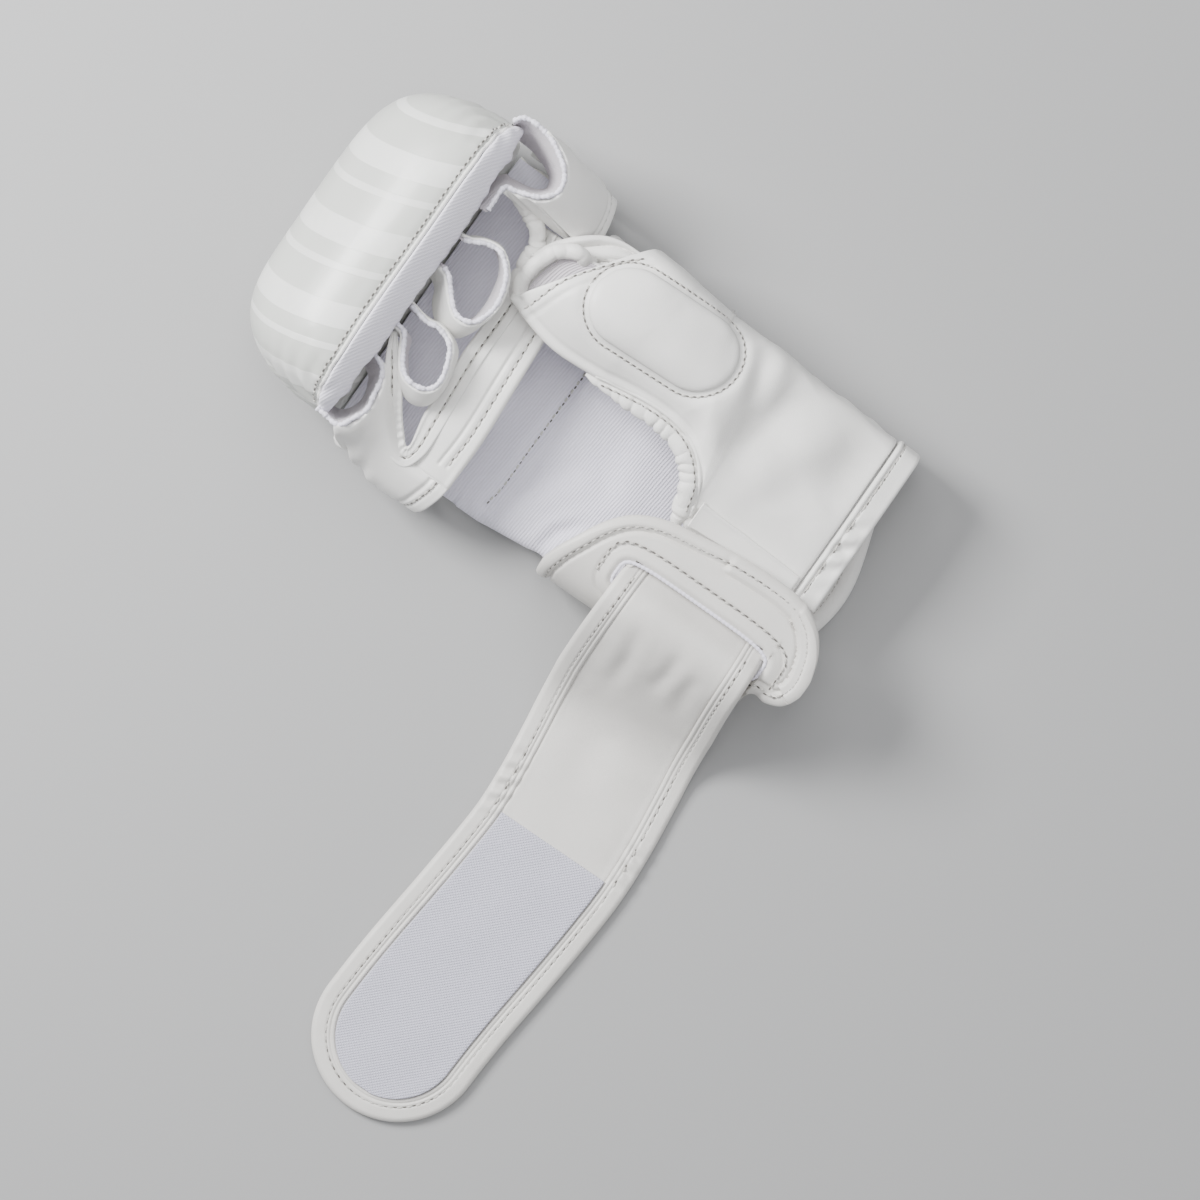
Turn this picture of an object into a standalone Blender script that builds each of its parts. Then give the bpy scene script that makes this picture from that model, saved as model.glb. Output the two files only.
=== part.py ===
"""White sparring glove for the right hand, lying palm up with its wrist strap pulled out flat.

+Y points to the fingers, +X to the thumb and +Z out of the palm. The glove rests on its back
at Z 0, and the origin is under the middle of the palm. Lengths are in metres.
"""

import math

import bmesh
import bpy
import numpy as np
from mathutils import Vector
from mathutils.bvhtree import BVHTree

# Sizes that set the glove: every table below holds shares of these
BREADTH = 0.100
PALM = 0.100
RISE = 0.080

# Walls, paddings and the clearance between pieces
GAP = 0.0003
LEATHER = 0.0020
LINING = 0.0013
BACK_DEPTH = 0.016
CUFF_DEPTH = 0.006
BAR_DEPTH = 0.0030
PLATE_DEPTH = 0.0042
HEM_DEPTH = 0.0032
ROLL_RADIUS = 0.0032
ROLL_GATHERS = 13
LIP_RADIUS = 0.0030
LIP_GATHERS = 15
PATCH_LENGTH = 0.066
PATCH_WIDTH = 0.034
PATCH_CROWN = 0.0036
PATCH_EDGE = 0.35
PATCH_TURN = -0.05
PATCH_MIDDLE = (0.362, -0.062)
ROOT_DEPTH = 0.0015

# Wrist strap, the slot that it comes out of, its binding and its hook panel
STRAP_WIDTH = 0.073
STRAP_LENGTH = 0.300
STRAP_DEPTH = 0.0030
BINDING_WIDTH = 0.0105
BINDING_DEPTH = 0.0040
HOOK_LENGTH = 0.129
HOOK_DEPTH = 0.0012
SLOT_WIDTH = 0.0150
SLOT_PLAY = 0.0012
STRAP_PINCH = 0.10
PINCH_LENGTH = 0.085

# Sewn-down inner end of the strap: shares of the way over the thumb panel, then of PALM
ROOT_OUTER = 0.988
ROOT_INNER = 0.920
ROOT_TAPER = 0.018
ROOT_START = -0.585
ROOT_MARGIN = 0.020

# Facets across and along the thumb panel
PANEL_COUNT = 15
PANEL_LENGTHS = 25

# Where pieces meet along the hand, as shares of PALM
CUFF_START = -0.60
CUFF_END = -1.29
CUFF_BOW = 0.055
FRONT_END = -1.215
HEM_SHARE = 0.11
PANEL_END = FRONT_END + HEM_SHARE

# Knuckle pad section, back to end face: y share of PALM, z share of RISE
PAD_OUTER = (
    (0.86, 0.000), (1.05, 0.000), (1.24, 0.050), (1.38, 0.200), (1.435, 0.425),
    (1.41, 0.650), (1.31, 0.850), (1.15, 0.985), (1.00, 1.035), (0.925, 1.020),
)
PAD_INNER = (
    (0.825, 0.830), (0.90, 0.770), (0.985, 0.640), (1.015, 0.490), (0.975, 0.340),
    (0.905, 0.240), (0.86, 0.200),
)
PAD_HALF_SHARE = 0.706
PAD_PIVOT_Y = 0.88
PAD_PIVOT_Z = 0.475
PAD_STATIONS = 18
ROOT_CLEAR = 2.6

# Back padding: y of PALM, left and right x of BREADTH, depth as a share of BACK_DEPTH
BACK_ROWS = (
    (0.857, -0.655, 0.655, 1.00),
    (0.60, -0.675, 0.640, 1.00),
    (0.30, -0.680, 0.580, 1.00),
    (0.02, -0.665, 0.545, 1.00),
    (-0.25, -0.635, 0.535, 0.95),
    (-0.45, -0.620, 0.530, 0.72),
    (-0.597, -0.615, 0.525, 0.46),
)

# Thumb and palm-heel panel: y of PALM, slant, side x, crest x of BREADTH, crest z of RISE,
# edge x of BREADTH, edge z of RISE
PANEL_ROWS = (
    (-1.215, 0.00, 0.570, 0.25, 0.500, -0.215, 0.455),
    (-1.000, 0.00, 0.580, 0.27, 0.530, -0.215, 0.470),
    (-0.800, 0.00, 0.588, 0.30, 0.575, -0.222, 0.480),
    (-0.640, 0.00, 0.592, 0.32, 0.630, -0.232, 0.490),
    (-0.575, 0.00, 0.595, 0.33, 0.655, -0.240, 0.500),
    (-0.560, 0.00, 0.597, 0.34, 0.665, -0.110, 0.515),
    (-0.500, 0.00, 0.600, 0.35, 0.690, -0.008, 0.535),
    (-0.400, 0.00, 0.604, 0.35, 0.725, 0.064, 0.560),
    (-0.280, 0.00, 0.608, 0.35, 0.765, 0.088, 0.590),
    (-0.100, 0.10, 0.615, 0.35, 0.820, 0.077, 0.625),
    (0.080, 0.25, 0.622, 0.34, 0.855, 0.048, 0.655),
    (0.260, 0.45, 0.628, 0.33, 0.865, 0.042, 0.665),
    (0.420, 0.62, 0.634, 0.33, 0.855, 0.075, 0.680),
    (0.522, 0.72, 0.640, 0.34, 0.825, 0.112, 0.705),
)

# Finger loops, rim seen from above: x of BREADTH and y of PALM, rim and foot z of RISE;
# lean is how far the foot stands nearer the wrist, flare how far its sides stand out
LOOPS = {
    "index": dict(root_a=0.350, a=(0.500, 0.715), tip=(0.580, 0.612), b=(0.717, 0.770),
                  root_b=0.600, rim=0.825, foot=0.52, lean=-0.060, flare=-0.055),
    "middle": dict(root_a=0.060, a=(-0.055, 0.645), tip=(0.065, 0.572), b=(0.222, 0.665),
                   root_b=0.180, rim=0.825, foot=0.645, lean=0.018, flare=0.010),
    "ring": dict(root_a=-0.225, a=(-0.384, 0.640), tip=(-0.290, 0.568), b=(-0.168, 0.660),
                 root_b=-0.140, rim=0.800, foot=0.655, lean=0.042, flare=0.010),
    "little": dict(root_a=-0.600, a=(-0.672, 0.800), tip=(-0.560, 0.740), b=(-0.430, 0.772),
                   root_b=-0.385, rim=0.775, foot=0.52, lean=-0.050, flare=-0.045),
}

# Palm bar across the finger roots: x of BREADTH, wrist edge y and finger edge y of PALM, z of RISE
BAR_ROWS = (
    (-0.605, 0.290, 0.505, 0.545),
    (-0.42, 0.285, 0.545, 0.590),
    (-0.16, 0.300, 0.552, 0.595),
    (0.09, 0.320, 0.555, 0.540),
    (0.27, 0.345, 0.575, 0.500),
    (0.445, 0.360, 0.605, 0.490),
)

# Side walls: hem and rim stations as x of BREADTH, y of PALM, z of RISE
THUMB_SIDE_HEM = (
    (0.450, 0.360, 0.490), (0.575, 0.372, 0.500), (0.668, 0.395, 0.450),
    (0.712, 0.420, 0.290), (0.690, 0.440, 0.060),
)
THUMB_SIDE_FOOT = ((0.752, 0.820, 0.560), (0.720, 0.830, 0.300), (0.690, 0.835, 0.070))
LITTLE_SIDE_HEM = (
    (-0.610, 0.290, 0.545), (-0.700, 0.300, 0.520), (-0.785, 0.335, 0.420),
    (-0.800, 0.380, 0.250), (-0.725, 0.400, 0.060),
)
LITTLE_SIDE_WAIST = (
    (-0.620, 0.520, 0.560), (-0.680, 0.535, 0.585), (-0.772, 0.575, 0.480),
    (-0.795, 0.610, 0.270), (-0.728, 0.620, 0.060),
)
LITTLE_SIDE_FOOT = ((-0.738, 0.760, 0.560), (-0.745, 0.815, 0.300), (-0.700, 0.835, 0.070))

# Wrist closure plate: the way round the little-finger side, x of BREADTH and z of RISE
PLATE_WAY = (
    (-0.19, 0.615), (-0.35, 0.612), (-0.50, 0.590), (-0.605, 0.530), (-0.675, 0.425),
    (-0.700, 0.275), (-0.672, 0.060),
)
# Plate outline: y of PALM, then where its band starts and ends along that way
PLATE_ROWS = (
    (-0.180, 0.62, 1.00), (-0.205, 0.47, 1.00), (-0.240, 0.355, 1.00), (-0.290, 0.240, 1.00),
    (-0.360, 0.145, 1.00), (-0.440, 0.090, 1.00), (-0.540, 0.055, 1.00), (-0.660, 0.036, 1.00),
    (-0.800, 0.014, 1.00), (-0.950, 0.003, 1.00), (-1.080, 0.004, 1.00), (-1.150, 0.015, 0.96),
    (-1.180, 0.025, 0.56), (-1.260, 0.078, 0.53), (-1.320, 0.160, 0.48), (-1.352, 0.255, 0.39),
    (-1.360, 0.305, 0.335),
)

# Strap way, middle line: x of BREADTH, y of PALM, z of RISE; the flat run follows to its end
STRAP_WAY = (
    (-0.262, -0.812, 0.500), (-0.36, -0.812, 0.500), (-0.44, -0.812, 0.530),
    (-0.505, -0.812, 0.590), (-0.575, -0.812, 0.640), (-0.66, -0.813, 0.625),
    (-0.745, -0.815, 0.540), (-0.83, -0.820, 0.400), (-0.92, -0.828, 0.245),
    (-1.01, -0.838, 0.120), (-1.11, -0.850, 0.050), (-1.24, -0.868, 0.027),
    (-1.45, -0.892, 0.026), (-1.65, -0.902, 0.026), (-1.85, -0.892, 0.026),
    (-2.10, -0.870, 0.026), (-2.40, -0.840, 0.026), (-2.65, -0.825, 0.026),
    (-2.95, -0.820, 0.026), (-3.25, -0.818, 0.026),
)
SLOT_MIDDLE = (-0.530, -0.812)

# Underside of the thumb sleeve and its lip: x of BREADTH, y of PALM, z of RISE
LIP_LINE = (
    (0.165, 0.480, 0.660), (0.235, 0.512, 0.665), (0.315, 0.502, 0.668),
    (0.385, 0.448, 0.672), (0.425, 0.370, 0.680),
)
UNDERSIDE_BACK = ((0.128, -0.04, 0.655), (0.30, -0.04, 0.645), (0.500, -0.04, 0.655))
WEB_OUTER = (
    (0.310, 0.560, 0.605), (0.405, 0.515, 0.615), (0.490, 0.435, 0.620), (0.545, 0.360, 0.600),
    (0.570, 0.280, 0.585), (0.575, 0.200, 0.580),
)
WEB_INNER = (
    (0.240, 0.420, 0.590), (0.290, 0.330, 0.590), (0.360, 0.220, 0.585), (0.420, 0.120, 0.580),
)
GUSSET_LINE = ((0.565, 0.100), (0.580, 0.190), (0.590, 0.275), (0.600, 0.350))
GUSSET_TOP = 0.550

# Palm side colours: red, green and blue, then roughness
WHITE_LEATHER = ((0.76, 0.75, 0.72), 0.42)
GLOSS_LEATHER = ((0.74, 0.75, 0.72), 0.24)
FABRIC = ((0.72, 0.70, 0.79), 0.85)
HOOK = ((0.55, 0.55, 0.62), 0.90)


def clear_scene():
    for item in list(bpy.data.objects):
        bpy.data.objects.remove(item, do_unlink=True)


def make_material(name, finish):
    material = bpy.data.materials.new(name)
    material.use_nodes = True
    shader = material.node_tree.nodes["Principled BSDF"]
    shader.inputs["Base Color"].default_value = (*finish[0], 1.0)
    shader.inputs["Roughness"].default_value = finish[1]
    shader.inputs["Metallic"].default_value = 0.0
    return material


def sized(points):
    """Turn shares of BREADTH, PALM and RISE into a place in metres."""
    return np.asarray(points, float) * (BREADTH, PALM, RISE)


def through(points, share):
    """Point at a share of the way along the smooth curve through points (..., n, k)."""
    share = np.asarray(share, float)
    points = np.asarray(points, float)
    if points.ndim == 2:
        points = np.broadcast_to(points, share.shape + points.shape)
    spans = points.shape[-2] - 1
    scaled = np.clip(share, 0.0, 1.0) * spans
    first = np.minimum(scaled.astype(int), spans - 1)
    t = (scaled - first)[..., None]

    def pick(shift):
        index = np.clip(first + shift, 0, spans)[..., None, None]
        return np.take_along_axis(points, index, axis=-2)[..., 0, :]

    a, b, c, d = (pick(shift) for shift in (-1, 0, 1, 2))
    a = np.where((first == 0)[..., None], 2 * b - c, a)
    d = np.where((first == spans - 1)[..., None], 2 * c - b, d)
    bend = (2 * a - 5 * b + 4 * c - d) * t ** 2
    return 0.5 * (2 * b + (c - a) * t + bend + (3 * b - a - 3 * c + d) * t ** 3)


def unit(vectors):
    return vectors / np.maximum(np.linalg.norm(vectors, axis=-1, keepdims=True), 1e-9)


def raised(surface, face=1.0):
    """Give a place above a surface: share, share and height to a point; face turns it over."""
    step = 0.002

    def place(u, v, height):
        along = surface(np.minimum(u + step, 1), v) - surface(np.maximum(u - step, 0), v)
        across = surface(u, np.minimum(v + step, 1)) - surface(u, np.maximum(v - step, 0))
        facing = face * unit(np.cross(along, across))
        return surface(u, v) + np.asarray(height)[..., None] * facing

    return place


def add_object(name, points, faces, finish):
    """Make one closed body of the points and faces, facing out and shaded smooth."""
    mesh = bpy.data.meshes.new(name)
    mesh.from_pydata([tuple(point) for point in points], [], faces)
    shape = bmesh.new()
    shape.from_mesh(mesh)
    bmesh.ops.recalc_face_normals(shape, faces=shape.faces)
    bmesh.ops.triangulate(shape, faces=shape.faces)
    shape.to_mesh(mesh)
    shape.free()
    mesh.shade_smooth()
    mesh.set_sharp_from_angle(angle=math.radians(50))
    mesh.materials.append(make_material(name, finish))
    body = bpy.data.objects.new(name, mesh)
    bpy.context.scene.collection.objects.link(body)
    return body


def grid_faces(rows, columns, start, loop=False):
    faces = []
    for i in range(rows if loop else rows - 1):
        for j in range(columns - 1):
            a = start + i * columns + j
            b = start + ((i + 1) % rows) * columns + j
            faces.append((a, b, b + 1, a + 1))
    return faces


def slab(name, place, rows, columns, low, high, finish, rounded=0.0):
    """Closed sheet over a grid of shares, between a low and a high height.

    rounded draws the rim of the sheet in to a blunt edge, as a share of its depth.
    """
    u, v = np.meshgrid(np.linspace(0, 1, rows), np.linspace(0, 1, columns), indexing="ij")
    middle = 0.5 * (low + high)
    half = np.full(u.shape, 0.5 * (high - low))
    rim = (u == 0) | (u == 1) | (v == 0) | (v == 1)
    half[rim] *= 1.0 - rounded
    points = np.concatenate([
        place(u, v, middle + half).reshape(-1, 3),
        place(u, v, middle - half).reshape(-1, 3),
    ])
    count = rows * columns
    faces = grid_faces(rows, columns, 0) + grid_faces(rows, columns, count)
    border = [(i, 0) for i in range(rows)] + [(rows - 1, j) for j in range(1, columns)]
    border += [(i, columns - 1) for i in range(rows - 2, -1, -1)]
    border += [(0, j) for j in range(columns - 2, 0, -1)]
    ring = [i * columns + j for i, j in border]
    for a, b in zip(ring, ring[1:] + ring[:1]):
        faces.append((a, b, b + count, a + count))
    return add_object(name, points, faces, finish)


def tube(name, path, radii, sides, finish, flat=1.0):
    """Closed round bar along a path, with a radius at each of its points."""
    ahead = unit(np.gradient(path, axis=0))
    side = unit(np.cross(ahead, (0.0, 0.0, 1.0)))
    up = np.cross(side, ahead)
    turn = np.linspace(0, 2 * math.pi, sides, endpoint=False)
    ring = np.cos(turn)[None, :, None] * side[:, None] + flat * np.sin(turn)[None, :, None] * up[:, None]
    points = (path[:, None] + radii[:, None, None] * ring).reshape(-1, 3)
    faces = []
    for i in range(len(path) - 1):
        for j in range(sides):
            a, b = i * sides + j, i * sides + (j + 1) % sides
            faces.append((a, a + sides, b + sides, b))
    faces.append(tuple(range(sides)))
    last = (len(path) - 1) * sides
    faces.append(tuple(range(last + sides - 1, last - 1, -1)))
    return add_object(name, points, faces, finish)


def gathered(count, samples, radius, depth=0.16):
    """Radius along an elastic edge that bunches into even gathers and thins at its ends."""
    share = np.linspace(0, 1, samples)
    ends = np.minimum(1, 0.55 + 9 * np.minimum(share, 1 - share))
    return radius * ends * (1 - depth * (0.5 + 0.5 * np.cos(2 * math.pi * count * share)))


def pad_fade(x):
    """How far the pad section keeps its reach and its height at x."""
    share = np.minimum(np.abs(x) / (PAD_HALF_SHARE * BREADTH), 0.992)
    return (1 - share ** 4.5) ** 0.4, (1 - share ** 6) ** (1 / 3)


def pad_point(x, y, z, hollow):
    """Carry a point of the pad's middle section to x; hollow points close up at the ends."""
    reach, height = pad_fade(x)
    pivot_y, pivot_z = PAD_PIVOT_Y * PALM, PAD_PIVOT_Z * RISE
    depth = np.where(hollow, np.clip(1.15 * reach - 0.45, 0.0, 0.70) / 0.70 * reach, reach)
    depth = np.where(y > pivot_y, depth, reach)
    return np.stack([x, pivot_y + (y - pivot_y) * depth, pivot_z + (z - pivot_z) * height], -1)


def pad_section(points, count):
    line = sized([(0.0, y, z) for y, z in points])
    return through(line, np.linspace(0, 1, count))


def pad_stations():
    """Places across the pad, closer together towards its rounded ends."""
    turn = np.linspace(-math.pi / 2, math.pi / 2, PAD_STATIONS)
    return 0.992 * PAD_HALF_SHARE * BREADTH * np.sin(turn)


def make_knuckle_pad():
    """Thick pad that rises from the back of the hand and curls over the fingers."""
    outer, inner = pad_section(PAD_OUTER, 12), pad_section(PAD_INNER, 8)
    outer[:, 2] = np.maximum(outer[:, 2], 0.0)
    section = np.concatenate([outer, inner])
    hollow = np.arange(len(section)) >= len(outer)
    rows = [pad_point(np.full(len(section), x), section[:, 1], section[:, 2], hollow)
            for x in pad_stations()]
    points = np.concatenate(rows)
    size = len(section)
    faces = []
    for i in range(len(rows) - 1):
        for j in range(size):
            a, b = i * size + j, i * size + (j + 1) % size
            faces.append((a, b, b + size, a + size))
    faces.append(tuple(range(size)))
    faces.append(tuple(range((len(rows) - 1) * size, len(rows) * size)))
    return add_object("knuckle_pad", points, faces, GLOSS_LEATHER)


def make_edge_strip():
    """Cloth strip on the pad's end face, between the leather seam and the finger loops."""
    ends = sized([(0.0, *PAD_OUTER[-1]), (0.0, *PAD_INNER[0])])
    step = ends[1] - ends[0]
    line = np.array([ends[0] + 0.05 * step, ends[1] - 0.06 * step])
    stations = pad_stations()[2:-2]

    def surface(u, v):
        x = np.interp(u * (len(stations) - 1), np.arange(len(stations)), stations)
        spot = through(line, v)
        return pad_point(x, spot[..., 1], spot[..., 2], np.full(u.shape, False))

    slab("pad_edge_strip", raised(surface, -1.0), len(stations), 2, 1.5 * GAP,
         1.5 * GAP + LINING, FABRIC)


def padding_round(turn):
    """Blunt round section of the back padding: its place across and its lift, flat below."""
    across = np.sign(np.cos(turn)) * np.abs(np.cos(turn)) ** 0.42
    lift = np.sign(np.sin(turn)) * np.abs(np.sin(turn)) ** 0.62
    return across, np.maximum(np.where(lift < 0, 1.20 * lift, lift), -1.0)


def back_surface(u, v):
    """Top of the back padding, from its thumb edge over to its little-finger edge."""
    rows = through(np.array(BACK_ROWS) * (PALM, BREADTH, BREADTH, BACK_DEPTH), v)
    middle = 0.5 * (rows[..., 1] + rows[..., 2])
    half = 0.5 * (rows[..., 2] - rows[..., 1])
    across, lift = padding_round(np.pi * (0.06 + 0.98 * u))
    depth = rows[..., 3]
    return np.stack([middle + half * across, rows[..., 0], 0.5 * depth * (1 + lift)], -1)


def make_back_pad():
    """Padding over the back of the hand, flat where it rests."""
    rows = through(np.array(BACK_ROWS) * (PALM, BREADTH, BREADTH, BACK_DEPTH), np.linspace(0, 1, 10))
    sides = 20
    turn = np.linspace(0, 2 * math.pi, sides, endpoint=False)
    across, lift = padding_round(turn)
    points = []
    for y, left, right, depth in rows:
        x = 0.5 * (left + right) + 0.5 * (right - left) * across
        points.append(np.stack([x, np.full(sides, y), 0.5 * depth * (1 + lift)], -1))
    faces = []
    for i in range(len(rows) - 1):
        for j in range(sides):
            a, b = i * sides + j, i * sides + (j + 1) % sides
            faces.append((a, b, b + sides, a + sides))
    faces.append(tuple(range(sides)))
    faces.append(tuple(range((len(rows) - 1) * sides, len(rows) * sides)))
    return add_object("back_pad", np.concatenate(points), faces, WHITE_LEATHER)


def make_cuff():
    """Thin back of the wrist, from the padding to the rounded wrist edge."""
    back_end = np.array(BACK_ROWS[-1])
    left = PLATE_WAY[-1][0] * BREADTH + 0.5 * PLATE_DEPTH + 2 * GAP
    right = back_end[2] * BREADTH
    start, end = CUFF_START * PALM - GAP, CUFF_END * PALM

    def surface(u, v):
        bow = CUFF_BOW * PALM * (1 - (2 * u - 1) ** 2)
        x = left + (right - left) * u
        y = start + (end - start) * v - bow * v
        return np.stack([x, y, np.zeros_like(x)], -1)

    def place(u, v, height):
        edge = np.minimum(u, 1 - u)
        bulge = 1 - 0.45 * np.clip(1 - edge / 0.06, 0, 1) ** 2
        point = surface(u, v)
        point[..., 2] = height * bulge
        return point

    slab("cuff_back", place, 11, 5, 0.0, CUFF_DEPTH, WHITE_LEATHER)


def make_hand_lining():
    """Ribbed cloth over the back padding, round its little-finger edge where the palm is open."""
    surface = lambda u, v: back_surface(0.06 + 0.94 * u * open_share(v), v)
    slab("hand_lining", raised(surface), 19, 10, GAP, GAP + LINING, FABRIC)


def open_share(v):
    """The lining turns under the edge only between the palm bar and the closure plate."""
    return np.where((v > 0.36) & (v < 0.78), 1.0, 0.90)


def panel_surface(u, v):
    """Leather from the thumb-side foot over the thumb's crest to the palm-opening edge."""
    scale = (PALM, 1.0, BREADTH, BREADTH, RISE, BREADTH, RISE)
    rows = through(np.array(PANEL_ROWS) * scale, v)
    y, slant, side, crest_x, crest_z, edge_x, edge_z = np.moveaxis(rows, -1, 0)
    x = [side - 0.035 * BREADTH, side, side - 0.01 * BREADTH, side - 0.07 * BREADTH, crest_x,
         0.5 * (crest_x + edge_x), edge_x]
    z = [np.full_like(y, 0.04 * RISE), 0.30 * crest_z, 0.68 * crest_z, 0.93 * crest_z, crest_z,
         crest_z - 0.22 * (crest_z - edge_z), edge_z]
    x, z = np.stack(x, -1), np.stack(z, -1)
    controls = np.stack([x, y[..., None] - slant[..., None] * (x - edge_x[..., None]), z], -1)
    return through(controls, u)


def panel_share(y_share):
    """Share of the way along the panel table that a place y lies at."""
    shares = np.linspace(0, 1, 400)
    places = through(np.array(PANEL_ROWS), shares)[:, 0]
    return float(np.interp(y_share, places, shares))


def panel_place():
    """Places above the panel, from its seam at the wrist hem to the mouth of the thumb."""
    start = panel_share(PANEL_END) + GAP / PALM
    return raised(lambda u, v: panel_surface(u, start + (1 - start) * v), -1.0)


def make_thumb_panel():
    """One leather panel over the heel of the palm and the top of the thumb."""
    slab("thumb_panel", panel_place(), PANEL_COUNT, PANEL_LENGTHS, -LEATHER, 0.0, WHITE_LEATHER)


def cut_away(body, cutter):
    """Cut one body with another that is only a guide."""
    cutter.hide_render = True
    cutter.display_type = "WIRE"
    cut = body.modifiers.new("cut", "BOOLEAN")
    cut.operation = "DIFFERENCE"
    cut.object = cutter


def make_wrist_hem():
    """Turned hem on the palm side of the wrist opening."""
    end = panel_share(PANEL_END)
    surface = lambda u, v: panel_surface(u, end * v)
    slab("wrist_hem", raised(surface, -1.0), 15, 3, -0.5 * (LEATHER + HEM_DEPTH),
         0.5 * (HEM_DEPTH - LEATHER), WHITE_LEATHER, 0.3)


def make_palm_roll():
    """Elastic edge of the palm opening, rolled and gathered."""
    samples = 2 * ROLL_GATHERS + 1
    v = np.linspace(panel_share(-0.566), panel_share(0.10), samples)
    edge = panel_surface(np.ones(samples), v)
    ahead = np.gradient(edge, axis=0)
    inward = unit(np.stack([-ahead[:, 1], ahead[:, 0], np.zeros(samples)], -1))
    path = edge + inward * (ROLL_RADIUS + GAP)
    path[:, 2] -= 0.3 * LEATHER
    tube("palm_roll", path, gathered(ROLL_GATHERS, samples, ROLL_RADIUS), 6, WHITE_LEATHER)


def top_tree(body):
    shape = bmesh.new()
    shape.from_mesh(body.data)
    tree = BVHTree.FromBMesh(shape)
    shape.free()
    return tree


def drop(tree, x, y):
    """Highest point of a body under x and y, with its facing."""
    hit, normal, _, _ = tree.ray_cast(Vector((x, y, 1.0)), Vector((0.0, 0.0, -1.0)))
    return np.array(hit), np.array(normal)


def make_thumb_patch(panel):
    """Crowned stadium-shaped pad sewn on top of the thumb."""
    tree = top_tree(panel)
    rings, sides = 4, 20
    straight = 0.5 * (PATCH_LENGTH - PATCH_WIDTH)
    turns = np.linspace(0, 2 * math.pi, sides, endpoint=False)
    places = [(0.0, 0.0, 0.0)]
    for share in np.linspace(0, 1, rings + 1)[1:]:
        for turn in turns:
            x = 0.5 * PATCH_WIDTH * math.cos(turn)
            y = 0.5 * PATCH_WIDTH * math.sin(turn) + math.copysign(straight, math.sin(turn))
            places.append((share * (x + PATCH_TURN * y), share * y, share))
    low, high = [], []
    for x, y, share in places:
        spot, facing = drop(tree, PATCH_MIDDLE[0] * BREADTH + x, PATCH_MIDDLE[1] * PALM + y)
        crown = PATCH_CROWN * ((1 - share ** 3.2) ** 0.8 + PATCH_EDGE)
        low.append(spot - facing * 0.5 * LEATHER)
        high.append(spot + facing * (GAP + crown))
    count = len(places)
    last = count - sides
    faces = []
    for side in range(sides):
        after = (side + 1) % sides
        for base in (0, count):
            faces.append((base, base + 1 + side, base + 1 + after))
            for ring in range(rings - 1):
                a, b = base + 1 + ring * sides + side, base + 1 + ring * sides + after
                faces.append((a, a + sides, b + sides, b))
        a, b = last + side, last + after
        faces.append((a, b, b + count, a + count))
    patch = add_object("thumb_patch", low + high, faces, WHITE_LEATHER)
    cutter = slab("patch_seat", panel_place(), PANEL_COUNT, PANEL_LENGTHS, -2 * LEATHER, GAP,
                  WHITE_LEATHER)
    cut_away(patch, cutter)


def make_strap_root():
    """Inner end of the strap, sewn down on the wrist panel beside the closure plate."""
    start, end = panel_share(ROOT_START), panel_share(PANEL_END + ROOT_MARGIN)

    def surface(u, v):
        across = ROOT_OUTER + (ROOT_INNER + ROOT_TAPER * v - ROOT_OUTER) * u
        return panel_surface(across, start + (end - start) * v)

    slab("strap_root", raised(surface, -1.0), 4, 5, GAP, GAP + ROOT_DEPTH, WHITE_LEATHER, 0.3)


def loop_path(row, share, level, out):
    """Point on a finger loop: share round it, level from foot to rim, out from its wall."""
    fall = (1 - level)[..., None]
    z = (row["foot"] + (row["rim"] - row["foot"]) * level) * RISE
    inner = through(np.array(PAD_INNER), np.linspace(0, 0.5, 70))[::-1]

    def root(x_share):
        x = np.full(z.shape, x_share * BREADTH)
        pivot = PAD_PIVOT_Z * RISE
        height = pivot + (z - pivot) / pad_fade(x)[1]
        reach = np.interp(height, inner[:, 1] * RISE, inner[:, 0] * PALM)
        spot = pad_point(x, reach, height, np.full(z.shape, True))
        spot[..., 1] -= ROOT_CLEAR * LINING
        return spot[..., :2]

    def rim_spot(spot, spread):
        plan = np.array(spot) * (BREADTH, PALM)
        shift = np.array((spread * row["flare"] * BREADTH, -row["lean"] * PALM))
        return plan + shift * fall

    line = np.stack([
        root(row["root_a"]), rim_spot(row["a"], -1), rim_spot(row["tip"], 0),
        rim_spot(row["b"], 1), root(row["root_b"]),
    ], -2)
    step = 0.004
    spot = through(line, share)
    ahead = unit(through(line, np.minimum(share + step, 1)) - through(line, np.maximum(share - step, 0)))
    outward = np.stack([ahead[..., 1], -ahead[..., 0]], -1)
    plan = spot + outward * out[..., None]
    return np.concatenate([plan, z[..., None]], -1)


def make_loops():
    """Four finger loops: a cloth tube each, with leather outside on the two middle ones."""
    for name, row in LOOPS.items():
        cloth = lambda u, v, height, row=row: loop_path(row, u, v, height)
        slab(f"loop_{name}_lining", cloth, 14, 3, 0.0, LINING, FABRIC, 0.2)
        if name in ("middle", "ring"):
            skin = lambda u, v, height, row=row: loop_path(row, u, 0.96 * v, height)
            low = LINING + GAP
            slab(f"loop_{name}", skin, 14, 3, low, low + LEATHER, WHITE_LEATHER, 0.2)


def make_palm_bar():
    """Leather bar across the finger roots, hemmed along both edges."""

    def surface(u, v):
        rows = through(np.array(BAR_ROWS) * (BREADTH, PALM, PALM, RISE), u)
        y = rows[..., 1] + (rows[..., 2] - rows[..., 1]) * v
        crown = 0.020 * RISE * (1 - (2 * v - 1) ** 2)
        return np.stack([rows[..., 0], y, rows[..., 3] + crown], -1)

    slab("palm_bar", raised(surface), 12, 4, -0.5 * BAR_DEPTH, 0.5 * BAR_DEPTH, WHITE_LEATHER, 0.3)


def wall_surface(lines):
    """Surface that passes smoothly from line to line, hem first."""
    def surface(u, v):
        return through(np.stack([through(line, u) for line in lines], -2), v)
    return surface


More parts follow.
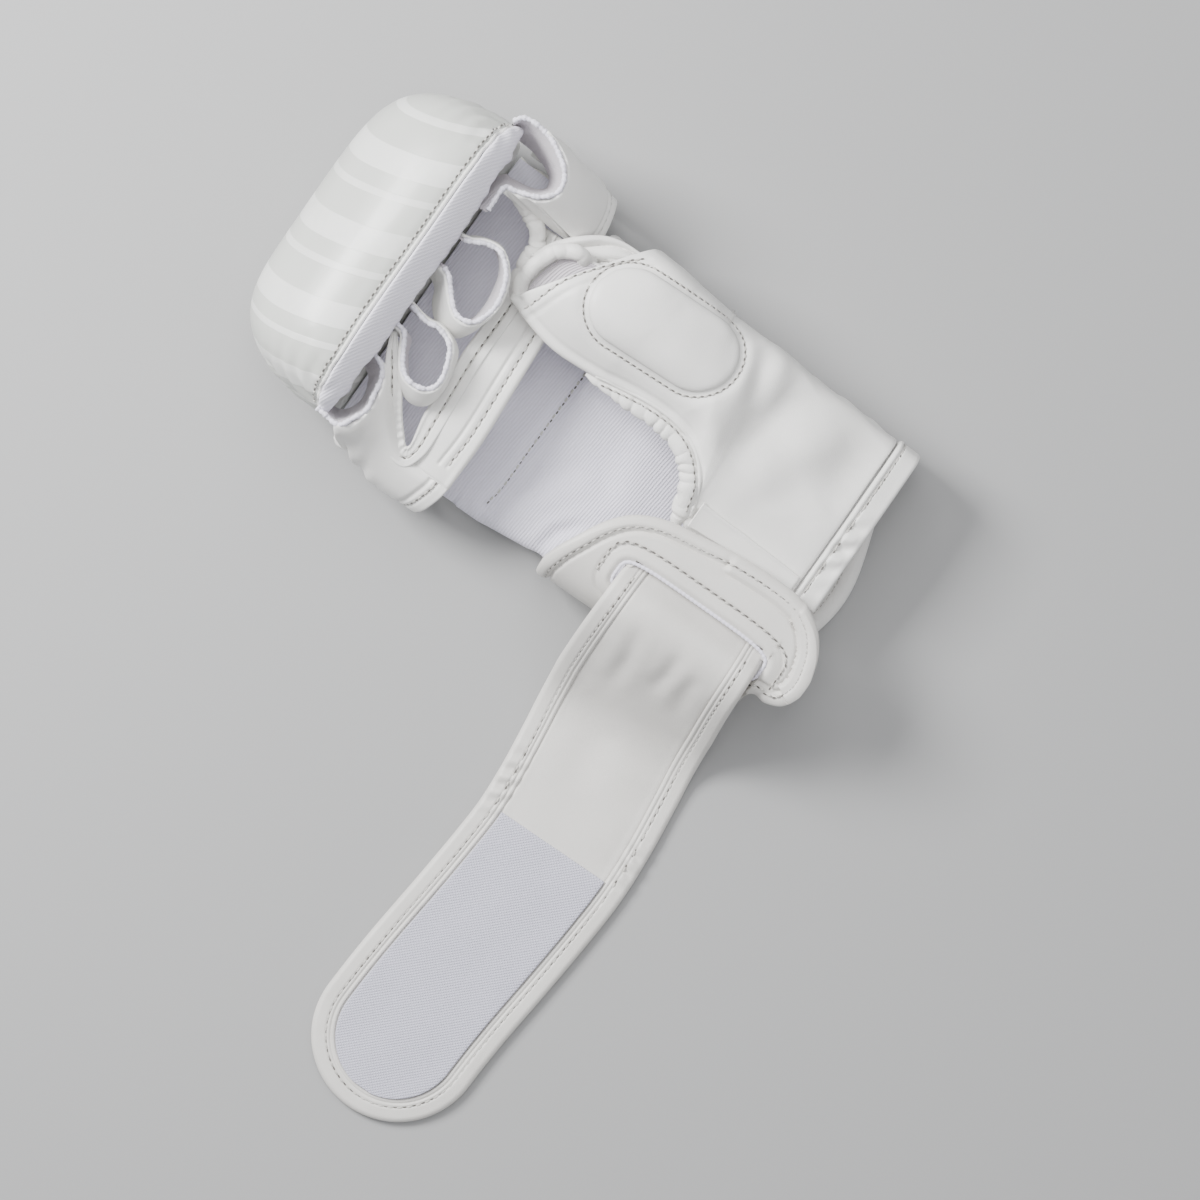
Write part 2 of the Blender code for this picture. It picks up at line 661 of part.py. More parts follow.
def rim_line(row, start, end, count):
    """Line just outside a finger loop's cloth rim, from share to share round it."""
    around = np.linspace(start, end, count)
    out = np.full(count, LINING + 4 * GAP + 0.5 * LEATHER)
    return loop_path(row, around, np.full(count, 0.97), out)


def make_side_walls():
    """Leather walls beside the index and little fingers, from palm bar to back padding."""
    half = 0.5 * LEATHER
    rim = np.concatenate([rim_line(LOOPS["index"], 0.30, 0.77, 7), sized(THUMB_SIDE_FOOT)])
    surface = wall_surface([sized(THUMB_SIDE_HEM), rim])
    slab("wall_thumb_side", raised(surface), 14, 5, -half, half, WHITE_LEATHER, 0.2)
    rim = np.concatenate([rim_line(LOOPS["little"], 0.88, 0.23, 6), sized(LITTLE_SIDE_FOOT)])
    surface = wall_surface([sized(LITTLE_SIDE_HEM), sized(LITTLE_SIDE_WAIST), rim])
    slab("wall_little_side", raised(surface, -1.0), 14, 7, -half, half, WHITE_LEATHER, 0.2)


def make_thumb_underside():
    """Under layer of the thumb sleeve, and the gathered lip at its mouth."""
    lip = sized(LIP_LINE)
    back = sized(UNDERSIDE_BACK)

    def surface(u, v):
        far, near = through(lip, u), through(back, u)
        dish = 0.018 * RISE * np.sin(np.pi * u)
        point = near + (far - near) * (0.96 * v)[..., None]
        point[..., 2] -= dish + 0.020 * RISE * v
        return point

    slab("thumb_underside", raised(surface), 9, 6, -0.5 * LEATHER, 0.5 * LEATHER, WHITE_LEATHER, 0.2)
    samples = 2 * LIP_GATHERS + 1
    path = through(lip, np.linspace(0, 1, samples))
    path[:, 2] += 0.010 * RISE
    tube("thumb_lip", path, gathered(LIP_GATHERS, samples, LIP_RADIUS), 6, WHITE_LEATHER)


def make_thumb_web():
    """Web between the thumb and the index finger, and the gusset down the side."""
    outer, inner = sized(WEB_OUTER), sized(WEB_INNER)

    def surface(u, v):
        fold = 0.006 * RISE * np.sin(3 * np.pi * v) * np.sin(np.pi * u)
        point = through(inner, u) + (through(outer, u) - through(inner, u)) * v[..., None]
        point[..., 2] += fold
        return point

    slab("thumb_web", raised(surface), 9, 4, -0.5 * LEATHER, 0.5 * LEATHER, WHITE_LEATHER, 0.2)
    line = sized([(x, y, 0.0) for x, y in GUSSET_LINE])

    def gusset(u, v):
        point = through(line, u)
        point[..., 2] = (0.05 + (GUSSET_TOP - 0.05) * v) * RISE
        return point

    slab("side_gusset", raised(gusset), 5, 3, -0.5 * LEATHER, 0.5 * LEATHER, WHITE_LEATHER, 0.2)


def plate_surface(u, v):
    rows = through(np.array(PLATE_ROWS) * (PALM, 1, 1), v)
    along = rows[..., 1] + (rows[..., 2] - rows[..., 1]) * u
    way = through(np.array(PLATE_WAY) * (BREADTH, RISE), along)
    return np.stack([way[..., 0], rows[..., 0], way[..., 1]], -1)


def strap_frame(share):
    """Middle, side and up of the strap at a distance along it; past its way it runs straight on."""
    way = sized(STRAP_WAY)
    fine = through(way, np.linspace(0, 1, 900))
    onward = STRAP_LENGTH * unit(fine[-1] - fine[-2])
    fine = np.concatenate([fine, [fine[-1] + onward]])
    run = np.concatenate([[0], np.cumsum(np.linalg.norm(np.diff(fine, axis=0), axis=1))])
    spot = np.stack([np.interp(share, run, fine[:, k]) for k in range(3)], -1)
    step = 0.0012
    ahead = np.stack([
        np.interp(share + step, run, fine[:, k]) - np.interp(share - step, run, fine[:, k])
        for k in range(3)], -1)
    ahead = unit(ahead)
    side = unit(np.cross(ahead, (0.0, 0.0, 1.0)))
    return spot, side, np.cross(side, ahead)


def on_strap(along, across, height):
    """Carry a flat place on the strap onto its way; the slot pinches it narrower."""
    spot, side, up = strap_frame(along)
    width = across * (1 - STRAP_PINCH * np.clip(1 - along / PINCH_LENGTH, 0, 1))
    return spot + side * width[..., None] + up * height[..., None]


def make_strap():
    """Leather strap inside its binding, the binding, and the hook panel near its end."""
    half = 0.5 * STRAP_WIDTH
    inner = half - BINDING_WIDTH - 1.5 * GAP
    turn_at = STRAP_LENGTH - half

    def core(u, v, height):
        along = (turn_at + inner) * (1 - (1 - u) ** 1.25)
        past = np.clip((along - turn_at) / inner, 0, 0.9995)
        return on_strap(along, (2 * v - 1) * inner * np.sqrt(1 - past ** 2), height)

    slab("wrist_strap", core, 32, 4, -0.5 * STRAP_DEPTH, 0.5 * STRAP_DEPTH, WHITE_LEATHER)

    start = turn_at + inner - HOOK_LENGTH
    low = 0.5 * STRAP_DEPTH + GAP

    def hook(u, v, height):
        along = start + (HOOK_LENGTH - GAP) * (1 - (1 - u) ** 1.4)
        past = np.clip((along - turn_at) / inner, 0, 0.9995)
        return on_strap(along, (2 * v - 1) * (inner - GAP) * np.sqrt(1 - past ** 2), height)

    slab("hook_panel", hook, 13, 5, low, low + HOOK_DEPTH, HOOK)

    runs, turns = 26, 11
    straight = np.linspace(0, turn_at, runs)
    bend = np.linspace(0, math.pi, turns)
    corner = np.concatenate([
        np.stack([straight, np.full(runs, 1.0), np.zeros(runs)], -1),
        np.stack([np.full(turns - 2, turn_at), np.cos(bend[1:-1]), np.sin(bend[1:-1])], -1),
        np.stack([straight[::-1], np.full(runs, -1.0), np.zeros(runs)], -1),
    ])

    def binding(u, v, height):
        index = np.rint(u * (len(corner) - 1)).astype(int)
        base, aside, ahead = np.moveaxis(corner[index], -1, 0)
        reach = half - BINDING_WIDTH * (1 - v)
        rounding = 1 - 0.5 * np.clip(np.abs(2 * v - 1), 0, 1) ** 6
        return on_strap(base + reach * ahead, reach * aside, height * rounding)

    slab("strap_binding", binding, len(corner), 4, -0.5 * BINDING_DEPTH, 0.5 * BINDING_DEPTH,
         WHITE_LEATHER)


def make_closure_plate():
    """Plate that wraps the little-finger side of the wrist, cut through for the strap."""
    plate = slab("closure_plate", raised(plate_surface), 12, 21, -0.5 * PLATE_DEPTH,
                 0.5 * PLATE_DEPTH, WHITE_LEATHER, 0.35)
    x, y = SLOT_MIDDLE[0] * BREADTH, SLOT_MIDDLE[1] * PALM
    z = PLATE_WAY[2][1] * RISE
    length = STRAP_WIDTH + 2 * SLOT_PLAY
    height = 6 * PLATE_DEPTH
    mesh = bpy.data.meshes.new("slot_cut")
    shape = bmesh.new()
    bmesh.ops.create_cube(shape, size=1.0)
    bmesh.ops.scale(shape, vec=(SLOT_WIDTH, length, height), verts=shape.verts)
    bmesh.ops.translate(shape, vec=(x, y, z), verts=shape.verts)
    shape.to_mesh(mesh)
    shape.free()
    cutter = bpy.data.objects.new("slot_cut", mesh)
    bpy.context.scene.collection.objects.link(cutter)
    cut_away(plate, cutter)


def main():
    clear_scene()
    make_knuckle_pad()
    make_edge_strip()
    make_back_pad()
    make_cuff()
    make_hand_lining()
    make_thumb_panel()
    make_wrist_hem()
    make_palm_roll()
    panel = bpy.data.objects["thumb_panel"]
    make_thumb_patch(panel)
    make_strap_root()
    make_loops()
    make_palm_bar()
    make_side_walls()
    make_thumb_underside()
    make_thumb_web()
    make_closure_plate()
    make_strap()


main()
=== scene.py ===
"""Builds the leather, cloth, padding, seams and stitches of a white sparring glove.

The glove lies palm up: +Y points to the fingers, +X to the thumb, and lengths are in metres.
"""

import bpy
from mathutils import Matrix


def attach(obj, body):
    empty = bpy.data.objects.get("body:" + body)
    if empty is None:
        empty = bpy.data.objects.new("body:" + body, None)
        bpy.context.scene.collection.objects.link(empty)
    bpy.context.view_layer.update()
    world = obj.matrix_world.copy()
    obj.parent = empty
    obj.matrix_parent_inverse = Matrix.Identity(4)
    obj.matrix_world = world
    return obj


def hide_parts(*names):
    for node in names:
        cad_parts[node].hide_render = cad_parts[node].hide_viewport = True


bl_info = {
    "name": "Sparring Glove Dresser",
    "version": (1, 0, 0),
    "blender": (4, 5, 0),
    "location": "3D View > Sidebar > Glove",
    "description": "Builds the sewn and padded pieces of a sparring glove over its packed frame",
    "category": "Object",
}

import math

import bmesh
import bpy
import numpy as np
from bpy.props import FloatProperty, FloatVectorProperty, PointerProperty
from mathutils import Matrix, Vector
from mathutils.bvhtree import BVHTree

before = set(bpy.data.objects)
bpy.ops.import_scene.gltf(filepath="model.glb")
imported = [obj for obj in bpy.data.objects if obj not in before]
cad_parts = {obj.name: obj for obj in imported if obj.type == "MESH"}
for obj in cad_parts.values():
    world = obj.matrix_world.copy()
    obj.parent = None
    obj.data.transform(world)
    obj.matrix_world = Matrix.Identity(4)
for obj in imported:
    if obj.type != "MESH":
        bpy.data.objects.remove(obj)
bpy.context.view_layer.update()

# Sizes that set the glove: the tables below hold shares of these
BREADTH = 0.100
PALM = 0.100
RISE = 0.080
GAP = 0.0003
LEATHER = 0.0020
LINING = 0.0013
BACK_DEPTH = 0.016
CUFF_DEPTH = 0.006
BAR_DEPTH = 0.0030
PLATE_DEPTH = 0.0042
HEM_DEPTH = 0.0032
LIP_RADIUS = 0.0030
PATCH_LENGTH = 0.066
PATCH_WIDTH = 0.034
PATCH_CROWN = 0.0036
PATCH_MIDDLE = (0.362, -0.062)
PATCH_TURN = -0.05
STRAP_WIDTH = 0.073
STRAP_LENGTH = 0.300
STRAP_DEPTH = 0.0030
STRAP_PINCH = 0.10
PINCH_LENGTH = 0.085
BINDING_WIDTH = 0.0105
BINDING_DEPTH = 0.0040
# Strap inside its binding: half its width, and how far along its round end starts
STRAP_INNER = 0.5 * STRAP_WIDTH - BINDING_WIDTH + 2 * GAP
STRAP_TURN = STRAP_LENGTH - 0.5 * STRAP_WIDTH
HOOK_LENGTH = 0.129
HOOK_DEPTH = 0.0012
SLOT_WIDTH = 0.0150
SLOT_LENGTH = 0.0706
SLOT_MIDDLE = (-0.530, -0.812)
SLOT_ROUNDING = 0.45
CUFF_START = -0.60
CUFF_END = -1.315
CUFF_MIDDLE = -0.010
CUFF_REACH = 0.040
CUFF_ROUNDING = 0.0155
FRONT_END = -1.215
HEM_SHARE = 0.11
PANEL_END = FRONT_END + HEM_SHARE

# Knuckle pad section, back to end face: y share of PALM, z share of RISE
PAD_OUTER = (
    (0.86, 0.000), (1.05, 0.000), (1.24, 0.050), (1.38, 0.200), (1.435, 0.425),
    (1.41, 0.650), (1.31, 0.850), (1.15, 0.985), (1.00, 1.035), (0.925, 1.020),
)
PAD_INNER = (
    (0.825, 0.830), (0.90, 0.770), (0.985, 0.640), (1.015, 0.490), (0.975, 0.340),
    (0.905, 0.240), (0.86, 0.200),
)
# Pleats and creases at the pad's rounded ends, and the seam near its back, in metres; the pleats
# run round a middle given as y and z
PLEAT_MIDDLE = (0.092, 0.078)
PLEAT_PITCH = 0.0085
PLEAT_DEPTH = 0.00075
PAD_CREASES = (0.047, 0.039, 0.031)
PAD_CREASE_DEPTH = 0.0020
PAD_SEAM_HEIGHT = 0.010
PAD_SEAM_DEPTH = 0.0016
FLAT_FOOT = 0.0006
PAD_HALF_SHARE = 0.706
PAD_PIVOT_Y = 0.88
PAD_PIVOT_Z = 0.475
ROOT_CLEAR = 2.6

# Back padding: y of PALM, left and right x of BREADTH, depth as a share of BACK_DEPTH
BACK_ROWS = (
    (0.857, -0.655, 0.655, 1.00),
    (0.60, -0.675, 0.640, 1.00),
    (0.30, -0.680, 0.580, 1.00),
    (0.02, -0.665, 0.545, 1.00),
    (-0.25, -0.635, 0.535, 0.95),
    (-0.45, -0.620, 0.530, 0.72),
    (-0.597, -0.615, 0.525, 0.46),
)

# Thumb and palm-heel panel: y of PALM, slant, side x, crest x of BREADTH, crest z of RISE,
# edge x of BREADTH, edge z of RISE
PANEL_ROWS = (
    (-1.215, 0.00, 0.570, 0.25, 0.500, -0.215, 0.455),
    (-1.000, 0.00, 0.580, 0.27, 0.530, -0.215, 0.470),
    (-0.800, 0.00, 0.588, 0.30, 0.575, -0.222, 0.480),
    (-0.640, 0.00, 0.592, 0.320, 0.630, -0.232, 0.490),
    (-0.577, 0.00, 0.595, 0.330, 0.655, -0.232, 0.505),
    (-0.562, -0.10, 0.598, 0.335, 0.681, -0.165, 0.548),
    (-0.540, -0.25, 0.600, 0.340, 0.712, -0.085, 0.585),
    (-0.488, -0.36, 0.603, 0.343, 0.738, -0.010, 0.603),
    (-0.412, -0.28, 0.605, 0.345, 0.749, 0.050, 0.613),
    (-0.311, -0.14, 0.608, 0.347, 0.767, 0.083, 0.620),
    (-0.167, 0.00, 0.612, 0.350, 0.800, 0.084, 0.632),
    (-0.010, 0.15, 0.618, 0.347, 0.829, 0.062, 0.645),
    (0.080, 0.25, 0.622, 0.34, 0.843, 0.048, 0.655),
    (0.260, 0.45, 0.628, 0.33, 0.861, 0.042, 0.665),
    (0.420, 0.62, 0.634, 0.33, 0.855, 0.075, 0.680),
    (0.522, 0.72, 0.640, 0.34, 0.825, 0.112, 0.705),
)

# Finger loops. roots: where each end joins the pad, as x of BREADTH on its inner face, or as x and
# y at its end. rim: the rim seen from above, x of BREADTH and y of PALM. top and foot: z of RISE.
# lean: how far the foot stands nearer the wrist. flare: how far its sides stand out. skew: how
# far, in metres, the foot of the leather runs towards the little finger.
LOOPS = {
    "index": dict(roots=(0.335, (0.688, 0.905)), top=0.825, foot=0.52, lean=-0.060, flare=-0.055,
                  rim=((0.459, 0.794), (0.484, 0.745), (0.513, 0.650), (0.575, 0.612),
                       (0.655, 0.645), (0.712, 0.745), (0.726, 0.862))),
    "middle": dict(roots=(0.070, 0.186), top=0.825, foot=0.645, lean=-0.040, flare=0.010, skew=0.006,
                   rim=((0.050, 0.760), (-0.010, 0.705), (-0.055, 0.645), (-0.048, 0.583),
                        (0.010, 0.558), (0.090, 0.561), (0.175, 0.587), (0.226, 0.645),
                        (0.222, 0.710), (0.197, 0.765))),
    "ring": dict(roots=(-0.220, -0.145), top=0.800, foot=0.655, lean=0.008, flare=0.006, skew=0.004,
                 rim=((-0.235, 0.780), (-0.300, 0.738), (-0.365, 0.685), (-0.386, 0.630),
                      (-0.370, 0.585), (-0.320, 0.567), (-0.250, 0.577), (-0.190, 0.612),
                      (-0.163, 0.680), (-0.166, 0.740))),
    "little": dict(roots=((-0.680, 0.900), -0.385), top=0.775, foot=0.52, lean=-0.050, flare=-0.045,
                   rim=((-0.685, 0.860), (-0.687, 0.800), (-0.650, 0.766), (-0.590, 0.747),
                        (-0.530, 0.746), (-0.470, 0.760), (-0.410, 0.790))),
}

# Palm bar across the finger roots: x of BREADTH, wrist edge y and finger edge y of PALM, z of RISE
BAR_ROWS = (
    (-0.660, 0.292, 0.500, 0.527),
    (-0.600, 0.290, 0.510, 0.545),
    (-0.42, 0.285, 0.545, 0.590),
    (-0.16, 0.300, 0.552, 0.595),
    (0.09, 0.320, 0.555, 0.540),
    (0.27, 0.345, 0.575, 0.500),
    (0.445, 0.360, 0.605, 0.490),
)

# Side walls: hem and rim stations as x of BREADTH, y of PALM, z of RISE
THUMB_SIDE_HEM = (
    (0.450, 0.360, 0.490), (0.575, 0.372, 0.500), (0.668, 0.395, 0.450),
    (0.712, 0.420, 0.290), (0.690, 0.440, 0.060),
)
THUMB_SIDE_FOOT = ((0.752, 0.820, 0.560), (0.720, 0.830, 0.300), (0.690, 0.835, 0.070))
LITTLE_SIDE_HEM = (
    (-0.610, 0.290, 0.545), (-0.700, 0.300, 0.520), (-0.785, 0.335, 0.420),
    (-0.800, 0.380, 0.250), (-0.725, 0.400, 0.060),
)
LITTLE_SIDE_WAIST = (
    (-0.620, 0.520, 0.560), (-0.680, 0.535, 0.585), (-0.772, 0.575, 0.480),
    (-0.795, 0.610, 0.270), (-0.728, 0.620, 0.060),
)
LITTLE_SIDE_FOOT = ((-0.738, 0.760, 0.560), (-0.745, 0.815, 0.300), (-0.700, 0.835, 0.070))

# Wrist closure plate: the way round the little-finger side, x of BREADTH and z of RISE
PLATE_WAY = (
    (-0.19, 0.615), (-0.35, 0.612), (-0.50, 0.590), (-0.605, 0.530), (-0.675, 0.425),
    (-0.700, 0.275), (-0.672, 0.060),
)
# Plate outline: y of PALM, then where its band starts and ends along that way
PLATE_ROWS = (
    (-0.180, 0.62, 1.00), (-0.205, 0.47, 1.00), (-0.240, 0.355, 1.00), (-0.290, 0.240, 1.00),
    (-0.360, 0.145, 1.00), (-0.440, 0.090, 1.00), (-0.540, 0.055, 1.00), (-0.660, 0.036, 1.00),
    (-0.800, 0.014, 1.00), (-0.950, 0.003, 1.00), (-1.080, 0.004, 1.00), (-1.150, 0.015, 0.96),
    (-1.180, 0.025, 0.56), (-1.260, 0.078, 0.53), (-1.320, 0.160, 0.48), (-1.352, 0.255, 0.39),
    (-1.360, 0.305, 0.335),
)

# Strap way, middle line: x of BREADTH, y of PALM, z of RISE; the flat run follows to its end
STRAP_WAY = (
    (-0.262, -0.812, 0.500), (-0.36, -0.812, 0.500), (-0.44, -0.812, 0.530),
    (-0.505, -0.812, 0.590), (-0.575, -0.812, 0.640), (-0.66, -0.813, 0.625),
    (-0.745, -0.815, 0.540), (-0.83, -0.820, 0.400), (-0.92, -0.828, 0.245),
    (-1.01, -0.838, 0.120), (-1.11, -0.850, 0.050), (-1.24, -0.868, 0.027),
    (-1.45, -0.892, 0.026), (-1.65, -0.902, 0.026), (-1.85, -0.892, 0.026),
    (-2.10, -0.870, 0.026), (-2.40, -0.840, 0.026), (-2.65, -0.825, 0.026),
    (-2.95, -0.820, 0.026), (-3.25, -0.818, 0.026),
)

# Underside of the thumb sleeve and its lip: x of BREADTH, y of PALM, z of RISE
LIP_LINE = (
    (0.150, 0.500, 0.660), (0.205, 0.526, 0.665), (0.275, 0.518, 0.668), (0.345, 0.496, 0.672),
    (0.398, 0.452, 0.676), (0.421, 0.392, 0.678),
)
UNDERSIDE_BACK = ((0.128, -0.04, 0.655), (0.30, -0.04, 0.645), (0.500, -0.04, 0.655))
WEB_OUTER = (
    (0.310, 0.560, 0.605), (0.405, 0.515, 0.615), (0.490, 0.435, 0.620), (0.545, 0.360, 0.600),
    (0.570, 0.280, 0.585), (0.575, 0.200, 0.580),
)
WEB_INNER = (
    (0.240, 0.420, 0.590), (0.290, 0.330, 0.590), (0.360, 0.220, 0.585), (0.420, 0.120, 0.580),
)
INDEX_WALL_EDGE = (
    (0.462, 0.745, 0.672), (0.460, 0.700, 0.640), (0.452, 0.655, 0.600), (0.452, 0.610, 0.565),
    (0.462, 0.550, 0.545), (0.452, 0.420, 0.500),
)
SLIT_END_WAY = (
    (0.468, 0.765, 0.700), (0.456, 0.715, 0.660), (0.440, 0.655, 0.615), (0.420, 0.602, 0.580),
    (0.372, 0.566, 0.558), (0.303, 0.556, 0.548), (0.225, 0.545, 0.545), (0.140, 0.520, 0.560),
)
# How thick that bunched binding is: shares of its way, then shares of its radius
SLIT_END_THICKNESS = (0, 0.12, 0.5, 0.75, 1), (0.5, 0.9, 1.0, 1.25, 1.0)
# Gathered edge of the palm opening: its ends as y of PALM, then shares of its way and how far it
# reaches into the opening there, in metres
ROLL_START, ROLL_END = -0.5735, 0.10
ROLL_REACH = (0, 0.12, 0.45, 0.75, 1), (0.0040, 0.0045, 0.0043, 0.0036, 0.0012)
# Side gusset of the thumb: its foot seen from above, and its top as z of RISE
GUSSET_LINE = ((0.565, 0.100), (0.580, 0.190), (0.590, 0.275), (0.600, 0.350))
GUSSET_TOP = 0.550

# Binding of the closure plate: where it laps over its own start, as y of PALM, its width, how much
# wider and higher it is past the lap, and how far its stitches lie from the plate's outline
LAP_START = -0.812
BAND_WIDTH = 0.0066
LAP_WIDER = 0.0022
LAP_HEIGHT = 0.0010
BAND_SEAM = 0.0050
# Seam round the slot, as a distance from its edge
SLOT_SEAM = 0.0072
# Even shares of the plate's way, at which distances along it are measured
WAY_SHARES = np.linspace(0, 1, 400)

# Sewn lines seen from above, as shares of BREADTH and PALM
SEWN_LINES = {
    "bar_wrist": ((-0.585, 0.345), (-0.42, 0.335), (-0.16, 0.348), (0.09, 0.366), (0.27, 0.390),
                  (0.43, 0.405)),
    "bar_wrist_fold": ((-0.590, 0.382), (-0.42, 0.372), (-0.16, 0.386), (0.09, 0.402),
                       (0.27, 0.426), (0.43, 0.440)),
    "lining": ((0.120, 0.118), (-0.30, 0.126), (-0.52, 0.130), (-0.625, 0.150)),
    "mouth": ((0.085, 0.468), (0.150, 0.432), (0.270, 0.385), (0.360, 0.330), (0.480, 0.235),
              (0.560, 0.150)),
    "mouth_fold": ((0.070, 0.435), (0.140, 0.395), (0.255, 0.345), (0.350, 0.288), (0.465, 0.195),
                   (0.545, 0.115)),
}

# Hem folded round the slit between palm bar and fingers, from beside the ring finger round the
# slit's tip to the index finger: its edge along the slit, then its outer seam
SLIT_HEM = (
    (-0.258, 0.812, 0.740, -0.268, 0.836, 0.742), (-0.307, 0.766, 0.752, -0.350, 0.800, 0.762),
    (-0.373, 0.710, 0.725, -0.424, 0.760, 0.750), (-0.445, 0.660, 0.675, -0.500, 0.716, 0.700),
    (-0.516, 0.612, 0.635, -0.578, 0.670, 0.655), (-0.575, 0.563, 0.606, -0.644, 0.614, 0.615),
    (-0.608, 0.533, 0.592, -0.688, 0.552, 0.590), (-0.596, 0.521, 0.592, -0.684, 0.486, 0.572),
    (-0.550, 0.528, 0.598, -0.605, 0.450, 0.588),
    (-0.460, 0.545, 0.607, -0.500, 0.446, 0.610), (-0.320, 0.552, 0.614, -0.330, 0.456, 0.630),
    (-0.160, 0.558, 0.615, -0.160, 0.468, 0.632), (0.090, 0.560, 0.560, 0.090, 0.472, 0.577),
    (0.270, 0.580, 0.521, 0.270, 0.492, 0.537), (0.440, 0.610, 0.512, 0.440, 0.520, 0.527),
)

# Soft folds of the thumb panel, the lining and the strap: plan points as shares of BREADTH and
# PALM, then half width and depth in metres
PANEL_FOLDS = (
    (((0.540, -0.690), (0.404, -0.638), (0.282, -0.608), (0.150, -0.585), (0.062, -0.574)),
     0.0095, 0.0036),
    (((0.560, -0.440), (0.422, -0.485), (0.300, -0.520)), 0.0042, 0.0018),
    (((0.520, -1.045), (0.449, -1.030), (0.334, -1.010), (0.227, -0.982), (0.154, -0.961)),
     0.0100, 0.0026),
    (((0.585, -0.180), (0.560, -0.300), (0.575, -0.420)), 0.0032, 0.0012),
    (((0.173, -0.335), (0.112, -0.392), (0.057, -0.416)), 0.0040, 0.0010),
    (((0.300, -0.800), (0.140, -0.830), (0.020, -0.870)), 0.0080, 0.0010),
)
LINING_FOLDS = (
    (((-0.62, 0.15), (-0.40, 0.02), (-0.20, -0.12)), 0.0050, 0.0011),
    (((-0.68, -0.13), (-0.55, -0.16), (-0.44, -0.24)), 0.0026, 0.0013),
    (((0.02, 0.02), (-0.15, -0.16), (-0.36, -0.26)), 0.0060, 0.0009),
)
STRAP_FOLDS = (
    (((-0.66, -0.66), (-0.80, -0.70), (-0.94, -0.70)), 0.0034, 0.0010),
    (((-0.66, -0.86), (-0.76, -0.87), (-0.86, -0.85)), 0.0032, 0.0010),
    (((-0.70, -0.98), (-0.78, -0.97), (-0.90, -1.00)), 0.0036, 0.0007),
    (((-1.02, -0.62), (-1.15, -0.78), (-1.40, -0.86)), 0.0080, 0.0010),
)

# Stage: square lights, each with its place across and along the picture, its height, its size and
# its power in watts, then the floor, the sky and the camera straight above
LIGHTS = (
    ("key_softbox", -0.70, 0.50, 0.80, 0.45, 28.0),
    ("top_softbox", 0.05, 0.75, 1.25, 0.90, 8.0),
    ("fill_softbox", 0.85, -0.45, 0.90, 0.90, 3.5),
    ("overhead_softbox", 0.0, 0.05, 1.60, 0.60, 6.0),
)
LIT_SPOT = (-0.05, 0.0, 0.0)
FLOOR_REACH = 4
FLOOR_DROP = 0.0002
FLOOR_COLOUR = (0.38, 0.38, 0.38, 1.0)
SKY_COLOUR = (0.85, 0.87, 0.92, 1.0)
SKY_STRENGTH = 0.42
CAMERA_PLACE = (-0.0670886, -0.0469759, 1.3)
CAMERA_TURN = math.radians(-55)
LENS_LENGTH = 92.857
SENSOR_WIDTH = 36.0


def length_property(name, description, default, least):
    return FloatProperty(name=name, description=description, default=default, min=least, unit="LENGTH")


def colour_property(name, description, default):
    return FloatVectorProperty(name=name, description=description, subtype="COLOR",
                               default=default, min=0.0, max=1.0)


class GloveSizes(bpy.types.PropertyGroup):
    """Sizes of the sewing, the padding and the cloth."""

    stitch_pitch: length_property(
        "Stitch pitch", "Distance from one stitch to the next", 0.0040, 0.002)
    stitch_length: length_property(
        "Stitch length", "Length of thread that shows at each stitch", 0.0026, 0.001)
    thread_radius: length_property(
        "Thread radius", "Half the thickness of the sewing thread", 0.00046, 0.0001)
    pad_swell: length_property(
        "Pad swell", "Furthest that the padding pushes the leather out", 0.0030, 0.0)
    rib_pitch: length_property("Rib pitch", "Distance between ribs of the cloth", 0.0013, 0.0005)
    grain_size: length_property(
        "Grain size", "Width of one pebble of the leather grain", 0.0008, 0.0002)


class GloveColours(bpy.types.PropertyGroup):
    """Colours of the leather, cloth and thread."""

    leather: colour_property("Leather", "Colour of the soft leather", (0.870, 0.860, 0.832))
    strap: colour_property(
        "Strap leather", "Colour of the strap and its plate", (0.710, 0.690, 0.655))
    gloss: colour_property(
        "Gloss leather", "Colour of the knuckle pad's leather", (0.590, 0.602, 0.565))
    band: colour_property(
        "Pad bands", "Colour of the tonal bands on the knuckle pad", (0.780, 0.786, 0.756))
    cloth: colour_property("Cloth", "Colour of the ribbed lining cloth", (0.840, 0.820, 0.935))
    inner_cloth: colour_property(
        "Inner cloth", "Colour of the cloth inside the finger loops", (0.620, 0.580, 0.620))
    hook: colour_property(
        "Hook panel", "Colour of the hook panel's base cloth", (0.620, 0.615, 0.720))
    # Thread: its own off-white colour, greyed with painted shade of the stitches sunk into the leather.
    thread: colour_property("Thread", "Colour of the sewing thread", (0.560, 0.545, 0.510))
    # Painted shade: each needle hole is a flat dark disc, and this colour stands for the shade inside
    # the hole.
    hole_shade: colour_property("Needle hole", "Colour inside the needle holes", (0.130, 0.120, 0.110))


def sizes():
    return bpy.context.scene.glove_sizes


def colours():
    return bpy.context.scene.glove_colours


def sized(points):
    """Turn shares of BREADTH, PALM and RISE into a place in metres."""
    points = np.asarray(points, float)
    return points * np.array((BREADTH, PALM, RISE))[:points.shape[-1]]


